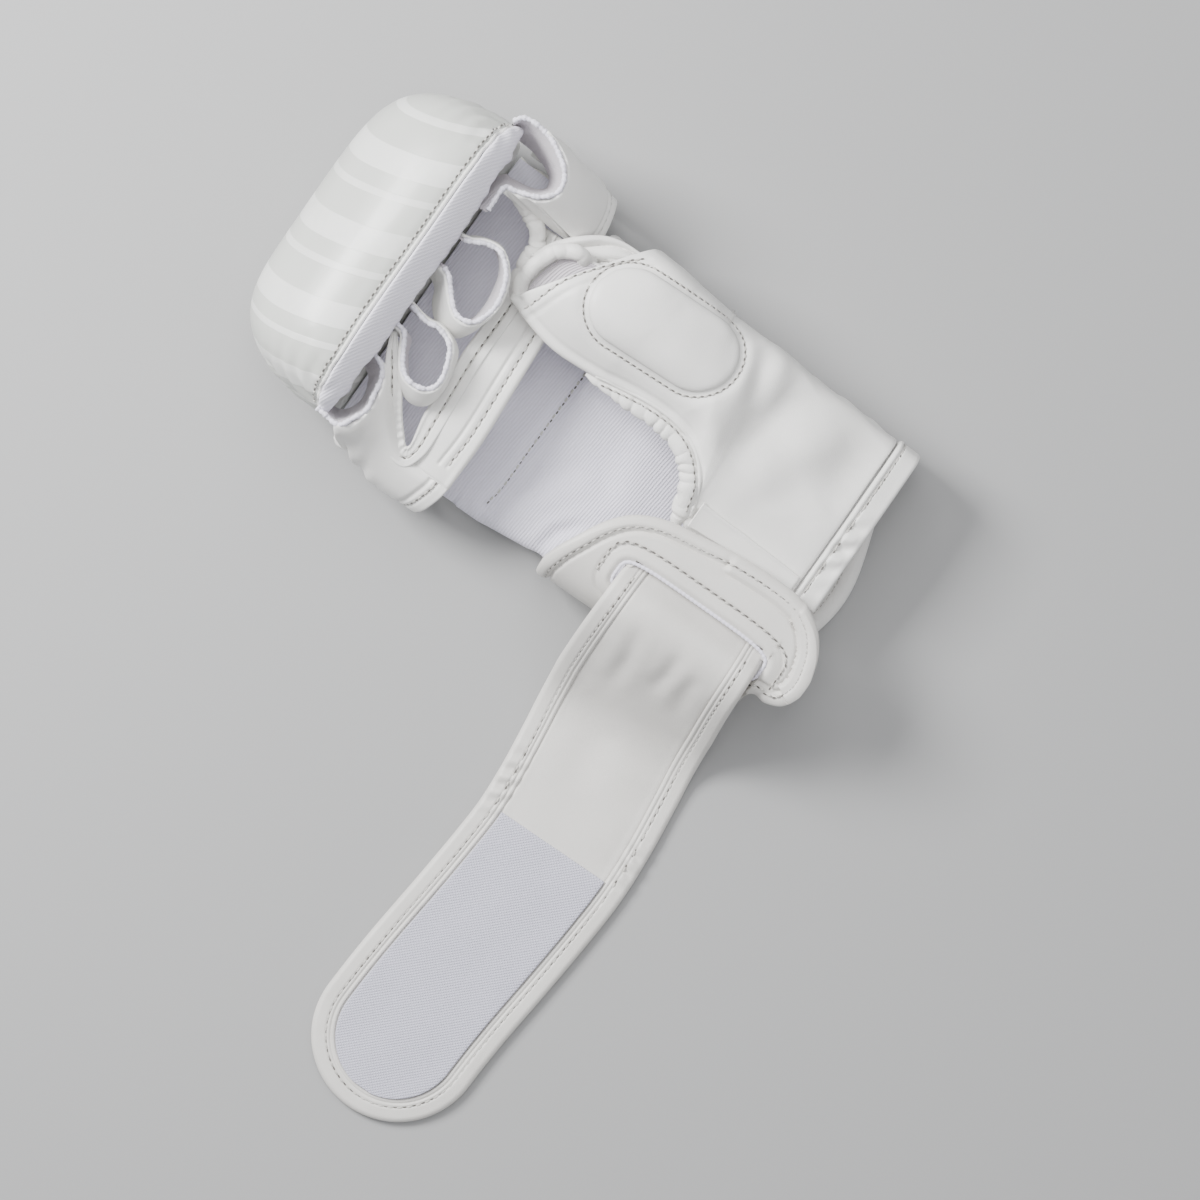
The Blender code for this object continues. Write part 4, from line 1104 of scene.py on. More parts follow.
def pad_point(x, y, z, hollow):
    """Carry a point of the pad's middle section to x; hollow points close up at the ends."""
    reach, height = pad_fade(x)
    pivot_y, pivot_z = PAD_PIVOT_Y * PALM, PAD_PIVOT_Z * RISE
    depth = np.where(hollow, np.clip(1.15 * reach - 0.45, 0.0, 0.70) / 0.70 * reach, reach)
    depth = np.where(y > pivot_y, depth, reach)
    return np.stack([x, pivot_y + (y - pivot_y) * depth, pivot_z + (z - pivot_z) * height], -1)


def pad_section(points, count):
    line = sized([(0.0, y, z) for y, z in points])
    return through(line, np.linspace(0, 1, count))


def pad_stations(count):
    turn = np.linspace(-math.pi / 2, math.pi / 2, count)
    return 0.992 * PAD_HALF_SHARE * BREADTH * np.sin(turn)


def pad_seam(count):
    """Line along the leather edge of the pad's end face."""
    _, y, z = sized((0.0, *PAD_OUTER[-1]))
    return pad_point(0.985 * pad_stations(count), np.full(count, y), z, False)


def crease_pad(pad):
    """Pleats at the rounded ends of the pad, the seam near its back and its low creases."""
    points, facings = read_points(pad), facings_of(pad)
    x, y, z = points.T
    end = ramp(np.abs(x), 0.045, 0.065)
    near_face = ramp(y, 0.128, 0.098) * ramp(y, 0.086, 0.092)
    height = ramp(z, 0.012, 0.032)
    drop = np.hypot(y - PLEAT_MIDDLE[0], 0.9 * (z - PLEAT_MIDDLE[1]))
    pleats = np.sin(2 * math.pi * drop / PLEAT_PITCH + 0.9 * np.sin(z / 0.008))
    relief = -PLEAT_DEPTH * end * near_face * height * (1 - pleats)
    relief += 0.0004 * wander(points, 0.016)
    relief -= PAD_SEAM_DEPTH * bell(z, PAD_SEAM_HEIGHT + 0.10 * (y - 0.09), 0.0016)
    span = ramp(y, 0.095, 0.107) * ramp(y, 0.132, 0.12)
    drift = 0.004 * np.sin((y - 0.09) * 60)
    for level in PAD_CREASES:
        relief -= PAD_CREASE_DEPTH * end * span * bell(z, level + drift, 0.0016)
    relief *= z > FLAT_FOOT
    write_points(pad, points + facings * relief[:, None])


def make_knuckle_pad():
    """Thick pad that rises from the back of the hand and curls over the fingers."""
    outer, inner = pad_section(PAD_OUTER, 46), pad_section(PAD_INNER, 24)
    outer[:, 2] = np.maximum(outer[:, 2], 0.0)
    section = np.concatenate([outer, inner])
    hollow = np.arange(len(section)) >= len(outer)
    rings = [pad_point(np.full(len(section), x), section[:, 1], section[:, 2], hollow)
             for x in pad_stations(64)]
    pad = make_piece("knuckle_pad_leather", rings, closed_tube(len(rings), len(section)), "gloss",
                     ["knuckle_pad"])

    def hold(points):
        return 1 - ramp(points[:, 1], 0.094, 0.114) * ramp(points[:, 2], 0.004, 0.016)

    swell(pad, 0.0040, sizes().pad_swell, hold)
    subdivide(pad)
    crease_pad(pad)
    tree = tree_of(pad)
    line, facing = nearest_on(tree, pad_seam(120))
    welt("pad_edge_welt", line, facing, 0.0009, "creased", 0.1)
    back = np.cross(facing, unit(np.gradient(line, axis=0)))
    back *= np.sign(back[:, 1:2])
    sew("pad_edge_stitches", [nearest_on(tree, line + 0.0022 * back)])


def make_pad_strip():
    """Cloth strip on the pad's end face, between the leather seam and the finger loops."""
    tree = tree_of(bpy.data.objects["knuckle_pad_leather"])
    ends = sized([(0.0, *PAD_OUTER[-1]), (0.0, *PAD_INNER[0])])
    stations = pad_stations(90)[6:-6]

    def place(u, v, height):
        x = np.interp(u * (len(stations) - 1), np.arange(len(stations)), stations)
        spot = ends[0] + (ends[1] - ends[0]) * (0.05 + 0.98 * v)[..., None]
        rest = pad_point(x, spot[..., 1], spot[..., 2], False)
        points, facings = nearest_on(tree, rest.reshape(-1, 3))
        bulge = 0.0012 * np.sin(math.pi * v)
        return points.reshape(rest.shape) + facings.reshape(rest.shape) * (height + bulge)[..., None]

    def relief(points, u, v):
        return 0.00035 * wander(points, 0.011) + 0.0003 * np.sin(u * 150) * bell(v, 1, 0.2)

    make_sheet("pad_end_strip", place, (110, 12), 0.0002, 0.0002 + LINING, "strip",
               ["pad_edge_strip"], relief)


def padding_round(turn):
    """Blunt round section of the back padding: its place across and its lift, flat below."""
    across, lift = blunt(np.cos(turn), 0.42), blunt(np.sin(turn), 0.62)
    return across, np.maximum(np.where(lift < 0, 1.20 * lift, lift), -1.0)


def back_rows(share):
    return through(np.array(BACK_ROWS) * (PALM, BREADTH, BREADTH, BACK_DEPTH), share)


def back_surface(u, v):
    """Top of the back padding, from its thumb edge over to its little-finger edge."""
    y, left, right, depth = np.moveaxis(back_rows(v), -1, 0)
    across, lift = padding_round(np.pi * (0.06 + 0.98 * u))
    return np.stack([0.5 * (left + right) + 0.5 * (right - left) * across, y,
                     0.5 * depth * (1 + lift)], -1)


def make_back_padding():
    """Padding over the back of the hand, with a seam and rucks round its side."""
    shares, sides = np.linspace(0, 1, 90), 96
    across, lift = padding_round(all_round(sides))
    y, left, right, depth = (row[:, None] for row in np.moveaxis(back_rows(shares), -1, 0))
    points = np.stack(np.broadcast_arrays(
        0.5 * (left + right) + 0.5 * (right - left) * across, y, 0.5 * depth * (1 + lift)), -1)
    side = np.abs(across) ** 6 * ramp(points[..., 2], 0, 0.003)
    ruck = 0.0006 * side * np.sin(points[..., 1] * 2 * math.pi / 0.014 + 2 * wander(points, 0.03))
    groove = -0.0010 * side * bell(points[..., 2] / depth, 0.50, 0.07)
    points[..., 0] += np.sign(across) * (ruck + groove)
    pad = make_piece("back_padding_leather", points, closed_tube(len(shares), sides), "creased",
                     ["back_pad"])


def make_cuff_back():
    """Thin back of the wrist with its sewn hem."""
    left_edge = PLATE_WAY[-1][0] * BREADTH + 0.5 * PLATE_DEPTH + 2 * GAP
    right_edge = BACK_ROWS[-1][2] * BREADTH
    start = CUFF_START * PALM - GAP

    def place(u, v, height):
        x = left_edge + (right_edge - left_edge) * u
        rounding = CUFF_ROUNDING * (1 - bell(x, CUFF_MIDDLE, CUFF_REACH))
        bulge = 1 - 0.45 * np.clip(1 - np.minimum(u, 1 - u) / 0.06, 0, 1) ** 2
        return np.stack([x, start + (CUFF_END * PALM + rounding - start) * v,
                         np.maximum(height * bulge, 0.0)], -1)

    def relief(points, u, v):
        hem = 0.0009 * bell(v, 0.945, 0.035) - 0.0012 * bell(v, 0.885, 0.012)
        return hem - 0.0002 + 0.0002 * wander(points, 0.02)

    make_sheet("cuff_back_leather", place, (80, 70), 0.0, CUFF_DEPTH, "creased", ["cuff_back"], relief)
    sew("cuff_back_stitches", [lifted(place, np.linspace(0.03, 0.97, 90), 0.905, CUFF_DEPTH - 0.0006)])


def open_share(v):
    """The lining turns under the edge only between the palm bar and the closure plate."""
    return np.where((v > 0.36) & (v < 0.78), 1.0, 0.90)


def make_hand_lining():
    """Ribbed cloth over the back padding, with one sewn line and the pucker beside it."""
    sewn = sewn_line("lining")

    def surface(u, v):
        return back_surface(0.06 + 0.94 * u * open_share(v), v)

    def relief(points, u, v):
        gap, _ = away(points, sewn)
        pucker = 0.0011 * bell(gap, 0.0042, 0.0030) * (0.6 + 0.4 * wander(points, 0.012))
        groove = 0.0010 * bell(gap, 0, 0.0012)
        return pucker - groove + folds(points, LINING_FOLDS) + 0.0002 * wander(points, 0.016)

    lining = make_sheet("hand_lining_cloth", raised(surface), (116, 100), GAP, GAP + LINING,
                        "lining", ["hand_lining"], relief)
    sew("lining_stitches", [on_top(lining, sewn)])


def panel_surface(u, v):
    """Leather from the thumb-side foot over the thumb's crest to the palm-opening edge."""
    scale = (PALM, 1.0, BREADTH, BREADTH, RISE, BREADTH, RISE)
    rows = through(np.array(PANEL_ROWS) * scale, v)
    y, slant, side, crest_x, crest_z, edge_x, edge_z = np.moveaxis(rows, -1, 0)
    x = [side - 0.035 * BREADTH, side, side - 0.01 * BREADTH, side - 0.07 * BREADTH, crest_x,
         0.5 * (crest_x + edge_x), edge_x]
    z = [np.full_like(y, 0.04 * RISE), 0.30 * crest_z, 0.68 * crest_z, 0.93 * crest_z, crest_z,
         crest_z - 0.22 * (crest_z - edge_z), edge_z]
    x, z = np.stack(x, -1), np.stack(z, -1)
    controls = np.stack([x, y[..., None] - slant[..., None] * (x - edge_x[..., None]), z], -1)
    return through(controls, u)


def panel_share(y_share):
    """Share of the way along the panel table that a place y lies at."""
    shares = np.linspace(0, 1, 400)
    places = through(np.array(PANEL_ROWS), shares)[:, 0]
    return float(np.interp(y_share, places, shares))


def panel_place(start, end):
    return raised(lambda u, v: panel_surface(u, start + (end - start) * v), -1.0)


def patch_outline(grow, count=240):
    """Plan line round the thumb patch, a distance outside its edge."""
    straight = 0.5 * (PATCH_LENGTH - PATCH_WIDTH)
    turn = np.linspace(0, 2 * math.pi, count)
    x = (0.5 * PATCH_WIDTH + grow) * np.cos(turn)
    y = (0.5 * PATCH_WIDTH + grow) * np.sin(turn) + np.copysign(straight, np.sin(turn))
    middle = np.array(PATCH_MIDDLE) * (BREADTH, PALM)
    line = np.stack([middle[0] + x + PATCH_TURN * y, middle[1] + y], -1)
    return evened(np.concatenate([line, line[:1]]), 0.0014)


def on_crest(points):
    """1 on top of the thumb panel, falling to 0 down its side."""
    return ramp(points[..., 2], 0.018, 0.03)


def make_thumb_panel():
    """One leather panel over the heel of the palm and the thumb, with its soft folds."""
    start = panel_share(PANEL_END) + GAP / PALM
    ring = patch_outline(0.0013)
    mouth, mouth_fold = sewn_line("mouth"), sewn_line("mouth_fold")
    plain = panel_place(start, 1.0)

    def creased(u, v, height):
        """The leather with its soft folds, which carry both of its faces."""
        points = plain(u, v, np.zeros_like(height))
        return plain(u, v, height + on_crest(points) * folds(points, PANEL_FOLDS, 0.003))

    def relief(points, u, v):
        height = 0.00035 * wander(points, 0.022) + 0.00015 * wander(points, 0.006)
        top = on_crest(points)
        height += top * pressed(points, ring, 0.0022, 0.0010)
        height += top * pressed(points, mouth_fold, 0.0008, 0.0007)
        height += top * pressed(points, mouth, 0.0007, 0.0004)
        rucks = np.sin(points[..., 1] * 2 * math.pi / 0.017 + 2.5 * wander(points, 0.03))
        height += 0.0007 * (1 - top) * rucks * ramp(points[..., 2], 0, 0.01)
        return height + 0.0008 * bell(u, 0.982, 0.010) - 0.0006 * bell(u, 0.955, 0.008)

    panel = make_sheet("thumb_panel_leather", creased, (116, 170), -LEATHER, 0.0,
                       "leather", ["thumb_panel"], relief)
    sew("mouth_stitches", [on_top(panel, mouth)])
    sewn = patch_outline(0.0016)
    sew("patch_stitches", [on_top(panel, np.concatenate([sewn, sewn[1:4]]))])


def make_wrist_hem():
    """Turned hem on the palm side of the wrist, and the sewn-down end of the strap."""
    place = panel_place(0.0, panel_share(PANEL_END))
    middle = 0.5 * (HEM_DEPTH - LEATHER)

    def relief(points, u, v):
        inner = bell(u, 0.80, 0.10)
        rucks = 0.0014 * inner * np.sin(points[..., 0] * 2 * math.pi / 0.0105 + 2 * v)
        ridge = 0.0008 * bell(v, 0.90, 0.06) - 0.0009 * bell(v, 0.76, 0.05)
        return rucks * np.sin(math.pi * v) + ridge + 0.0003 * wander(points, 0.012)

    make_sheet("wrist_hem_leather", place, (170, 26), middle - HEM_DEPTH, middle, "leather",
               ["wrist_hem"], relief)
    sew("wrist_hem_stitches", [lifted(place, np.linspace(0.16, 0.985, 120), 0.72, middle - 0.0005)])
    start, stop = panel_share(-0.585), panel_share(PANEL_END + 0.020)

    def root(u, v):
        across = 0.988 + (0.920 + 0.018 * v - 0.988) * u
        return panel_surface(across, start + (stop - start) * v)

    def lip(points, u, v):
        return 0.0004 * bell(u, 0.93, 0.05) + 0.0002 * wander(points, 0.010)

    make_sheet("strap_root_leather", raised(root, -1.0), (16, 80), GAP, GAP + 0.0015,
               "leather", ["strap_root"], lip)


def make_palm_roll():
    """Elastic edge of the palm opening, gathered inside its sewn seam."""
    v = np.linspace(panel_share(ROLL_START), panel_share(ROLL_END), 700)
    edge = evened(panel_surface(np.ones(700), v), 0.0004)
    samples, sides = len(edge), 28
    ahead = unit(np.gradient(edge, axis=0) * (1, 1, 0))
    inward = np.stack([-ahead[:, 1], ahead[:, 0], np.zeros(samples)], -1)
    share = np.linspace(0, 1, samples)
    wide = np.interp(share, *ROLL_REACH)
    smooth = np.ones(9) / 9
    reach = np.convolve(np.pad(wide, 4, mode="edge"), smooth, mode="valid")
    path = edge + inward * (reach - 0.0009)[:, None] - np.array((0, 0, 0.55 * LEATHER))
    inner_side = np.clip(0.75 - 0.6 * np.cos(all_round(sides)), 0.1, 1)
    full = gathers(15, samples, sides, 1.04, 0.42)
    plain = gathers(15, samples, sides, 1.0, 0.0)
    radii = reach[:, None] * (plain + (full - plain) * inner_side)
    make_tube("palm_opening_roll", path, radii, sides, "creased", ["palm_roll"], 0.72)
    roll, panel = bpy.data.objects["palm_opening_roll"], bpy.data.objects["thumb_panel_leather"]
    inner = (edge + inward * 0.0014)[12:-14:5, :2]
    sew("palm_opening_stitches", [on_top(roll, inner)])
    points, facings = on_top(panel, (edge - inward * 0.0007)[12:-10:4, :2])
    welt("palm_opening_welt", points, facings, 0.0008, "leather", 0.35)


def make_thumb_patch():
    """Crowned stadium-shaped pad on top of the thumb, swollen against its sewn edge."""
    tree = tree_of(bpy.data.objects["thumb_panel_leather"])
    rings = 22
    outline = patch_outline(-0.0006)[:-1]
    sides = len(outline)
    middle = np.array(PATCH_MIDDLE) * (BREADTH, PALM)
    upper, lower = [], []
    for share in [0.0] + list(np.linspace(0, 1, rings + 1)[1:] ** 0.85):
        for spot in (outline if share else outline[:1]):
            x, y = middle + (spot - middle) * share
            hit, facing, _, _ = tree.ray_cast(Vector((x, y, 1.0)), Vector((0, 0, -1.0)))
            crown = PATCH_CROWN * 0.62 * (1 - share ** 3.4) ** 0.6 + 0.0004
            upper.append(np.array(hit) + unit(0.4 * np.array(facing) + (0.0, 0.0, 1.0)) * crown)
            lower.append(np.array(hit) - np.array(facing) * 0.0006)
    points = np.array(upper + lower)
    count = len(upper)
    faces = []
    for base in (0, count):
        first = base + 1 + np.arange(sides)
        faces += (ring_quads(rings, sides) + base + 1).tolist()
        faces += [[base, a, b] for a, b in zip(first, np.roll(first, -1))]
    last = 1 + (rings - 1) * sides + np.arange(sides)
    after = np.roll(last, -1)
    faces += np.stack([last, after, after + count, last + count], -1).tolist()
    patch = make_piece("thumb_patch_leather", points, faces, "leather",
                       ["thumb_patch"])
    held = np.zeros(2 * count)
    held[count:] = held[last] = 1.0
    held[last - sides] = 0.6
    swell(patch, None, 0.0018, lambda start: held, 9.0)


def loop_path(row, share, level, out, skew=0.0):
    """Point on a finger loop: share round it, level from foot to rim, out from its wall.

    skew carries the foot of its far side towards the little finger.
    """
    fall = (1 - level)[..., None]
    z = (row["foot"] + (row["top"] - row["foot"]) * level) * RISE
    inner = through(np.array(PAD_INNER), np.linspace(0, 0.5, 70))[::-1]
    spots = np.array(row["rim"]) * (BREADTH, PALM)
    sides = 2 * (spots[:, 0] - spots[:, 0].min()) / np.ptp(spots[:, 0]) - 1

    def root(place):
        if isinstance(place, tuple):
            return np.broadcast_to(np.array(place) * (BREADTH, PALM), (*z.shape, 2))
        x = np.full(z.shape, place * BREADTH)
        pivot = PAD_PIVOT_Z * RISE
        height = pivot + (z - pivot) / pad_fade(x)[1]
        reach = np.interp(height, inner[:, 1] * RISE, inner[:, 0] * PALM)
        spot = pad_point(x, reach, height, np.full(z.shape, True))
        spot[..., 1] -= ROOT_CLEAR * LINING
        return spot[..., :2]

    def rim_spot(spot, side):
        shift = side * row["flare"] * BREADTH - 0.5 * skew * (1 - side), -row["lean"] * PALM
        return spot + np.array(shift) * fall

    start, end = row["roots"]
    line = np.stack([root(start), *map(rim_spot, spots, sides), root(end)], -2)
    ahead = heading(line, share)
    outward = np.stack([ahead[..., 1], -ahead[..., 0]], -1)
    plan = through(line, share) + outward * out[..., None]
    return np.concatenate([plan, z[..., None]], -1)


def loop_wave(share):
    """Slight waves of a finger loop along its rim."""
    return 0.0004 * np.sin(share * 23 + 2.0) * np.sin(math.pi * share)


def make_loop_edge(name, row):
    """Cut edge of a loop's cloth, thick and thin along its rim."""
    around = np.linspace(0.01, 0.99, 300)
    rim = loop_path(row, around, np.ones(300), 0.75 * LINING + loop_wave(around))
    rim[:, 2] += 0.0003 + 0.0005 * np.sin(around * 23) + 0.0003 * np.sin(around * 61 + 1)
    rim = evened(rim, 0.0006)
    lumps = np.arange(len(rim))
    radii = 0.0010 * (1 + 0.20 * np.sin(lumps * 1.9) + 0.16 * np.sin(lumps * 0.73 + 2))
    make_tube(f"loop_{name}_cut_edge", rim, radii, 8, "fringe")


def make_loop_skin(name, row):
    """Leather outside of a finger loop, rucked near its foot."""
    low = LINING + 0.0001

    def skin(u, v, height):
        belly = 0.0007 * np.sin(math.pi * np.clip(v, 0, 1)) * np.sin(math.pi * u) ** 0.7
        return loop_path(row, u, 0.985 * v, height + belly + loop_wave(u) * v, row["skew"])

    def relief(points, u, v):
        ruck = np.sin(u * 31 + 2 * np.sin(7 * u)) * np.clip(1 - v / 0.7, 0, 1)
        return 0.0005 * ruck + 0.0003 * wander(points, 0.008)

    make_sheet(f"loop_{name}_leather", skin, (120, 36), low, low + 0.0014, "leather",
               [f"loop_{name}"], relief)


def make_finger_loops():
    """Four finger loops: ribbed cloth with a cut edge, and leather outside the middle two."""
    for name, row in LOOPS.items():
        make_sheet(f"loop_{name}_cloth",
                   lambda u, v, height: loop_path(row, u, v, height + loop_wave(u) * v),
                   (120, 26), 0.0, LINING, "loop", [f"loop_{name}_lining"],
                   uneven(0.0003, 0.005), weave=True)
        make_loop_edge(name, row)
        if "skew" in row:
            make_loop_skin(name, row)


def bar_surface(u, v):
    rows = through(np.array(BAR_ROWS) * (BREADTH, PALM, PALM, RISE), u)
    y = rows[..., 1] + (rows[..., 2] - rows[..., 1]) * v
    crown = 0.020 * RISE * (1 - (2 * v - 1) ** 2)
    return np.stack([rows[..., 0], y, rows[..., 3] + crown], -1)


def slit_hem(u, v):
    rows = through(np.array(SLIT_HEM) * (BREADTH, PALM, RISE, BREADTH, PALM, RISE), u)
    return rows[..., :3] + (rows[..., 3:] - rows[..., :3]) * v[..., None]


def make_palm_bar():
    """Leather bar across the finger roots, and the hem folded round the slit beyond it."""
    wrist, wrist_fold = sewn_line("bar_wrist"), sewn_line("bar_wrist_fold")

    def relief(points, u, v):
        height = 0.00025 * wander(points, 0.016) - 0.0008 * bell(u, 0, 0.03)
        height += pressed(points, wrist_fold, 0.0007, 0.0009) + pressed(points, wrist, 0.0008, 0.0005)
        return height + 0.0006 * bell(v, 0.06, 0.06)

    bar = make_sheet("palm_bar_leather", raised(bar_surface), (170, 60), -0.5 * BAR_DEPTH,
                     0.5 * BAR_DEPTH, "leather", ["palm_bar"], relief)
    sew("palm_bar_stitches", [on_top(bar, wrist)])

    def folded(points, u, v):
        edge = 0.0008 * bell(v, 0.10, 0.09)
        sewn = -0.0007 * bell(v, 0.57, 0.05)
        rucks = np.sin(u * 190 + 3 * np.sin(u * 23)) * bell(v, 0.15, 0.25)
        tight = bell(u, 0.38, 0.06) + 0.35
        return edge + sewn + 0.0003 * rucks * tight + 0.0002 * wander(points, 0.012)

    place = raised(slit_hem, -1.0)
    make_sheet("slit_hem_leather", place, (260, 26), -0.0006, 0.0010, "leather", relief=folded)
    sew("slit_hem_stitches", [lifted(place, np.linspace(0.06, 0.97, 220), 0.57, 0.0006)])


def wall_surface(lines):
    """Surface that passes smoothly from line to line, hem first."""
    def surface(u, v):
        return through(np.stack([through(line, u) for line in lines], -2), v)
    return surface


def rim_line(row, start, end, count):
    """Line just outside a finger loop's cloth rim, from share to share round it."""
    around = np.linspace(start, end, count)
    out = np.full(count, LINING - GAP + 0.5 * LEATHER)
    return loop_path(row, around, np.full(count, 0.97), out)


def make_side_walls():
    """Leather walls beside the index and little fingers, the first with its inner wall."""
    half = 0.5 * LEATHER
    rim = np.concatenate([rim_line(LOOPS["index"], 0.35, 0.79, 9), sized(THUMB_SIDE_FOOT)])
    thumb_side = wall_surface([sized(THUMB_SIDE_HEM), rim])

    def thumb_relief(points, u, v):
        hem = -0.0008 * bell(v, 0.17, 0.022) - 0.0005 * bell(v, 0.10, 0.02)
        rucks = 0.0006 * np.sin(v * 14 + 5 * u) * ramp(u, 0.55, 0.85)
        belly = 0.0012 * np.sin(math.pi * v) * np.sin(math.pi * u)
        return hem + rucks + belly + 0.0003 * wander(points, 0.012)

    make_sheet("thumb_side_wall", raised(thumb_side), (100, 56), -half, half, "leather",
               ["wall_thumb_side"], thumb_relief)
    rim = rim_line(LOOPS["index"], 0.10, 0.36, 6)
    inner = wall_surface([sized(INDEX_WALL_EDGE), rim])

    def inner_relief(points, u, v):
        return 0.0006 * np.sin(u * 17 + 3 * v) + 0.0003 * wander(points, 0.009)

    make_sheet("index_inner_wall", raised(inner), (60, 40), -half, half, "leather",
               relief=inner_relief)
    share = np.linspace(0.03, 0.93, 90)
    sew("thumb_side_stitches", [lifted(raised(thumb_side), share, 0.11, half - 0.0004)])

    rim = np.concatenate([rim_line(LOOPS["little"], 0.89, 0.235, 8), sized(LITTLE_SIDE_FOOT)])
    little_side = wall_surface([sized(LITTLE_SIDE_HEM), sized(LITTLE_SIDE_WAIST), rim])

    def little_relief(points, u, v):
        hem = -0.0009 * bell(v, 0.17, 0.020) - 0.0005 * bell(v, 0.105, 0.018)
        low = ramp(u, 0.45, 0.75)
        rucks = 0.0011 * low * np.sin(v * 26 + 3 * u) * ramp(v, 0.35, 0.55)
        return hem + rucks + 0.0004 * wander(points, 0.012)

    make_sheet("little_side_wall", raised(little_side, -1.0), (110, 80), -half, half,
               "leather", ["wall_little_side"], little_relief)
    sew("little_side_stitches", [lifted(raised(little_side, -1.0), share, 0.115, half - 0.0004)])


def make_slit_end():
    """Bunched leather binding where the slit ends beside the index finger."""
    way = evened(through(sized(SLIT_END_WAY), np.linspace(0, 1, 200)), 0.0004)
    share = np.linspace(0, 1, len(way))
    way[:, 0] += 0.0009 * np.sin(11 * share)
    thick = np.interp(share, *SLIT_END_THICKNESS)[:, None]
    make_tube("slit_end_binding", way, thick * gathers(9, len(way), 24, 0.0038, 0.38), 24,
              "creased", squash=0.75)


def make_thumb_underside():
    """Under layer of the thumb, its ribbed lining and the gathered lip."""
    lip, back = sized(LIP_LINE), sized(UNDERSIDE_BACK)

    def under(u, v):
        far, near = through(lip, u), through(back, u)
        dish = 0.018 * RISE * np.sin(np.pi * u)
        point = near + (far - near) * (0.96 * v)[..., None]
        point[..., 2] -= dish + 0.020 * RISE * v
        return point

    make_sheet("thumb_under_leather", raised(under), (60, 60), -0.5 * LEATHER, 0.5 * LEATHER,
               "creased", ["thumb_underside"],
               uneven(0.0002, 0.01))
    low = 0.5 * LEATHER + 0.0002
    make_sheet("thumb_inner_cloth", raised(lambda u, v: under(0.04 + 0.92 * u, 0.35 + 0.62 * v)),
               (60, 50), low, low + 0.0010, "loop",
               relief=uneven(0.0003, 0.009),
               weave=True)
    start, end = sized([(0.112, 0.505, 0.685)]), sized([(0.412, 0.320, 0.600)])
    path = np.concatenate([start, lip + np.array((0, 0, 0.010 * RISE)), end])
    path = evened(through(path, np.linspace(0, 1, 300)), 0.0004)
    make_tube("thumb_lip_roll", path, gathers(9, len(path), 20, LIP_RADIUS * 1.10, 0.16), 20,
              "creased", ["thumb_lip"], 0.9)


def make_thumb_web():
    """Gathered leather between thumb and palm, with three loose folds on it."""
    outer, inner = sized(WEB_OUTER), sized(WEB_INNER)

    def web(u, v):
        point = through(inner, u) + (through(outer, u) - through(inner, u)) * v[..., None]
        point[..., 2] += 0.006 * RISE * np.sin(3 * np.pi * v) * np.sin(np.pi * u)
        return point

    def layers(points, u, v):
        sharp = np.abs(np.sin(3.5 * math.pi * v ** 0.9 + 0.5 * np.sin(5 * u))) ** 0.6
        return 0.0034 * (sharp - 0.5) + 0.0005 * wander(points, 0.007)

    make_sheet("thumb_web_leather", raised(web), (90, 70), -0.5 * LEATHER, 0.5 * LEATHER,
               "creased", ["thumb_web"], layers)
    for number, share in enumerate((0.20, 0.42, 0.64)):
        run = np.linspace(0.02, 0.96, 200)
        crest = evened(web(run, np.full(200, share)) + np.array((0, 0, 0.0012)), 0.0008)
        ends = np.sin(np.linspace(0.12, math.pi - 0.12, len(crest))) ** 0.5
        crest[:, :2] += 0.0008 * np.sin(np.linspace(0, 9 + 2 * number, len(crest)))[:, None]
        make_tube(f"thumb_web_fold_{number + 1}", crest, (0.0024 - 0.0003 * number) * ends, 16,
                  "creased", squash=0.75)


def make_side_gusset():
    """Plain gusset down the side of the thumb."""
    line = sized([(x, y, 0.0) for x, y in GUSSET_LINE])

    def gusset(u, v):
        point = through(line, u)
        point[..., 0] -= 0.0055 * v ** 2
        point[..., 2] = (0.05 + (GUSSET_TOP - 0.05) * v) * RISE
        return point

    make_sheet("side_gusset_leather", raised(gusset), (40, 40), -0.5 * LEATHER, 0.5 * LEATHER,
               "creased", ["side_gusset"],
               lambda points, u, v: 0.0006 * np.sin(v * 16 + 3 * u) + 0.0002 * wander(points, 0.01))


def plate_rows(v):
    """Rows of the plate's outline: y, then where its band starts and ends along its way."""
    return through(np.array(PLATE_ROWS) * (PALM, 1, 1), v)


def plate_way(share):
    return through(np.array(PLATE_WAY) * (BREADTH, RISE), share)


def plate_along(u, v):
    """Share of the plate's way at shares across and along its outline."""
    rows = plate_rows(v)
    return rows[..., 1] + (rows[..., 2] - rows[..., 1]) * u


def plate_surface(u, v):
    way = plate_way(plate_along(u, v))
    return np.stack([way[..., 0], plate_rows(v)[..., 0], way[..., 1]], -1)


def way_run():
    """Distance along the plate's way at even shares of it."""
    return run_along(plate_way(WAY_SHARES))


def on_plate(run, y, height):
    """Point and facing over the plate at a distance round its way and a place y."""
    share = np.interp(run, way_run(), WAY_SHARES)
    spot = plate_way(share)
    ahead = heading(np.array(PLATE_WAY) * (BREADTH, RISE), share)
    facing = np.stack([ahead[:, 1], np.zeros(len(y)), -ahead[:, 0]], -1)
    return np.stack([spot[:, 0], y, spot[:, 1]], -1) + facing * height, facing


def flat_outline():
    """The plate's outline laid flat: distance round its way, and y."""
    rows = plate_rows(np.linspace(0, 1, 160))
    start, end = (np.interp(rows[:, side], WAY_SHARES, way_run()) for side in (1, 2))
    left = np.stack([start, rows[:, 0]], -1)
    right = np.stack([end, rows[:, 0]], -1)[::-1]
    return np.concatenate([np.stack([end[:1], rows[:1, 0]], -1), left, right[:60]])


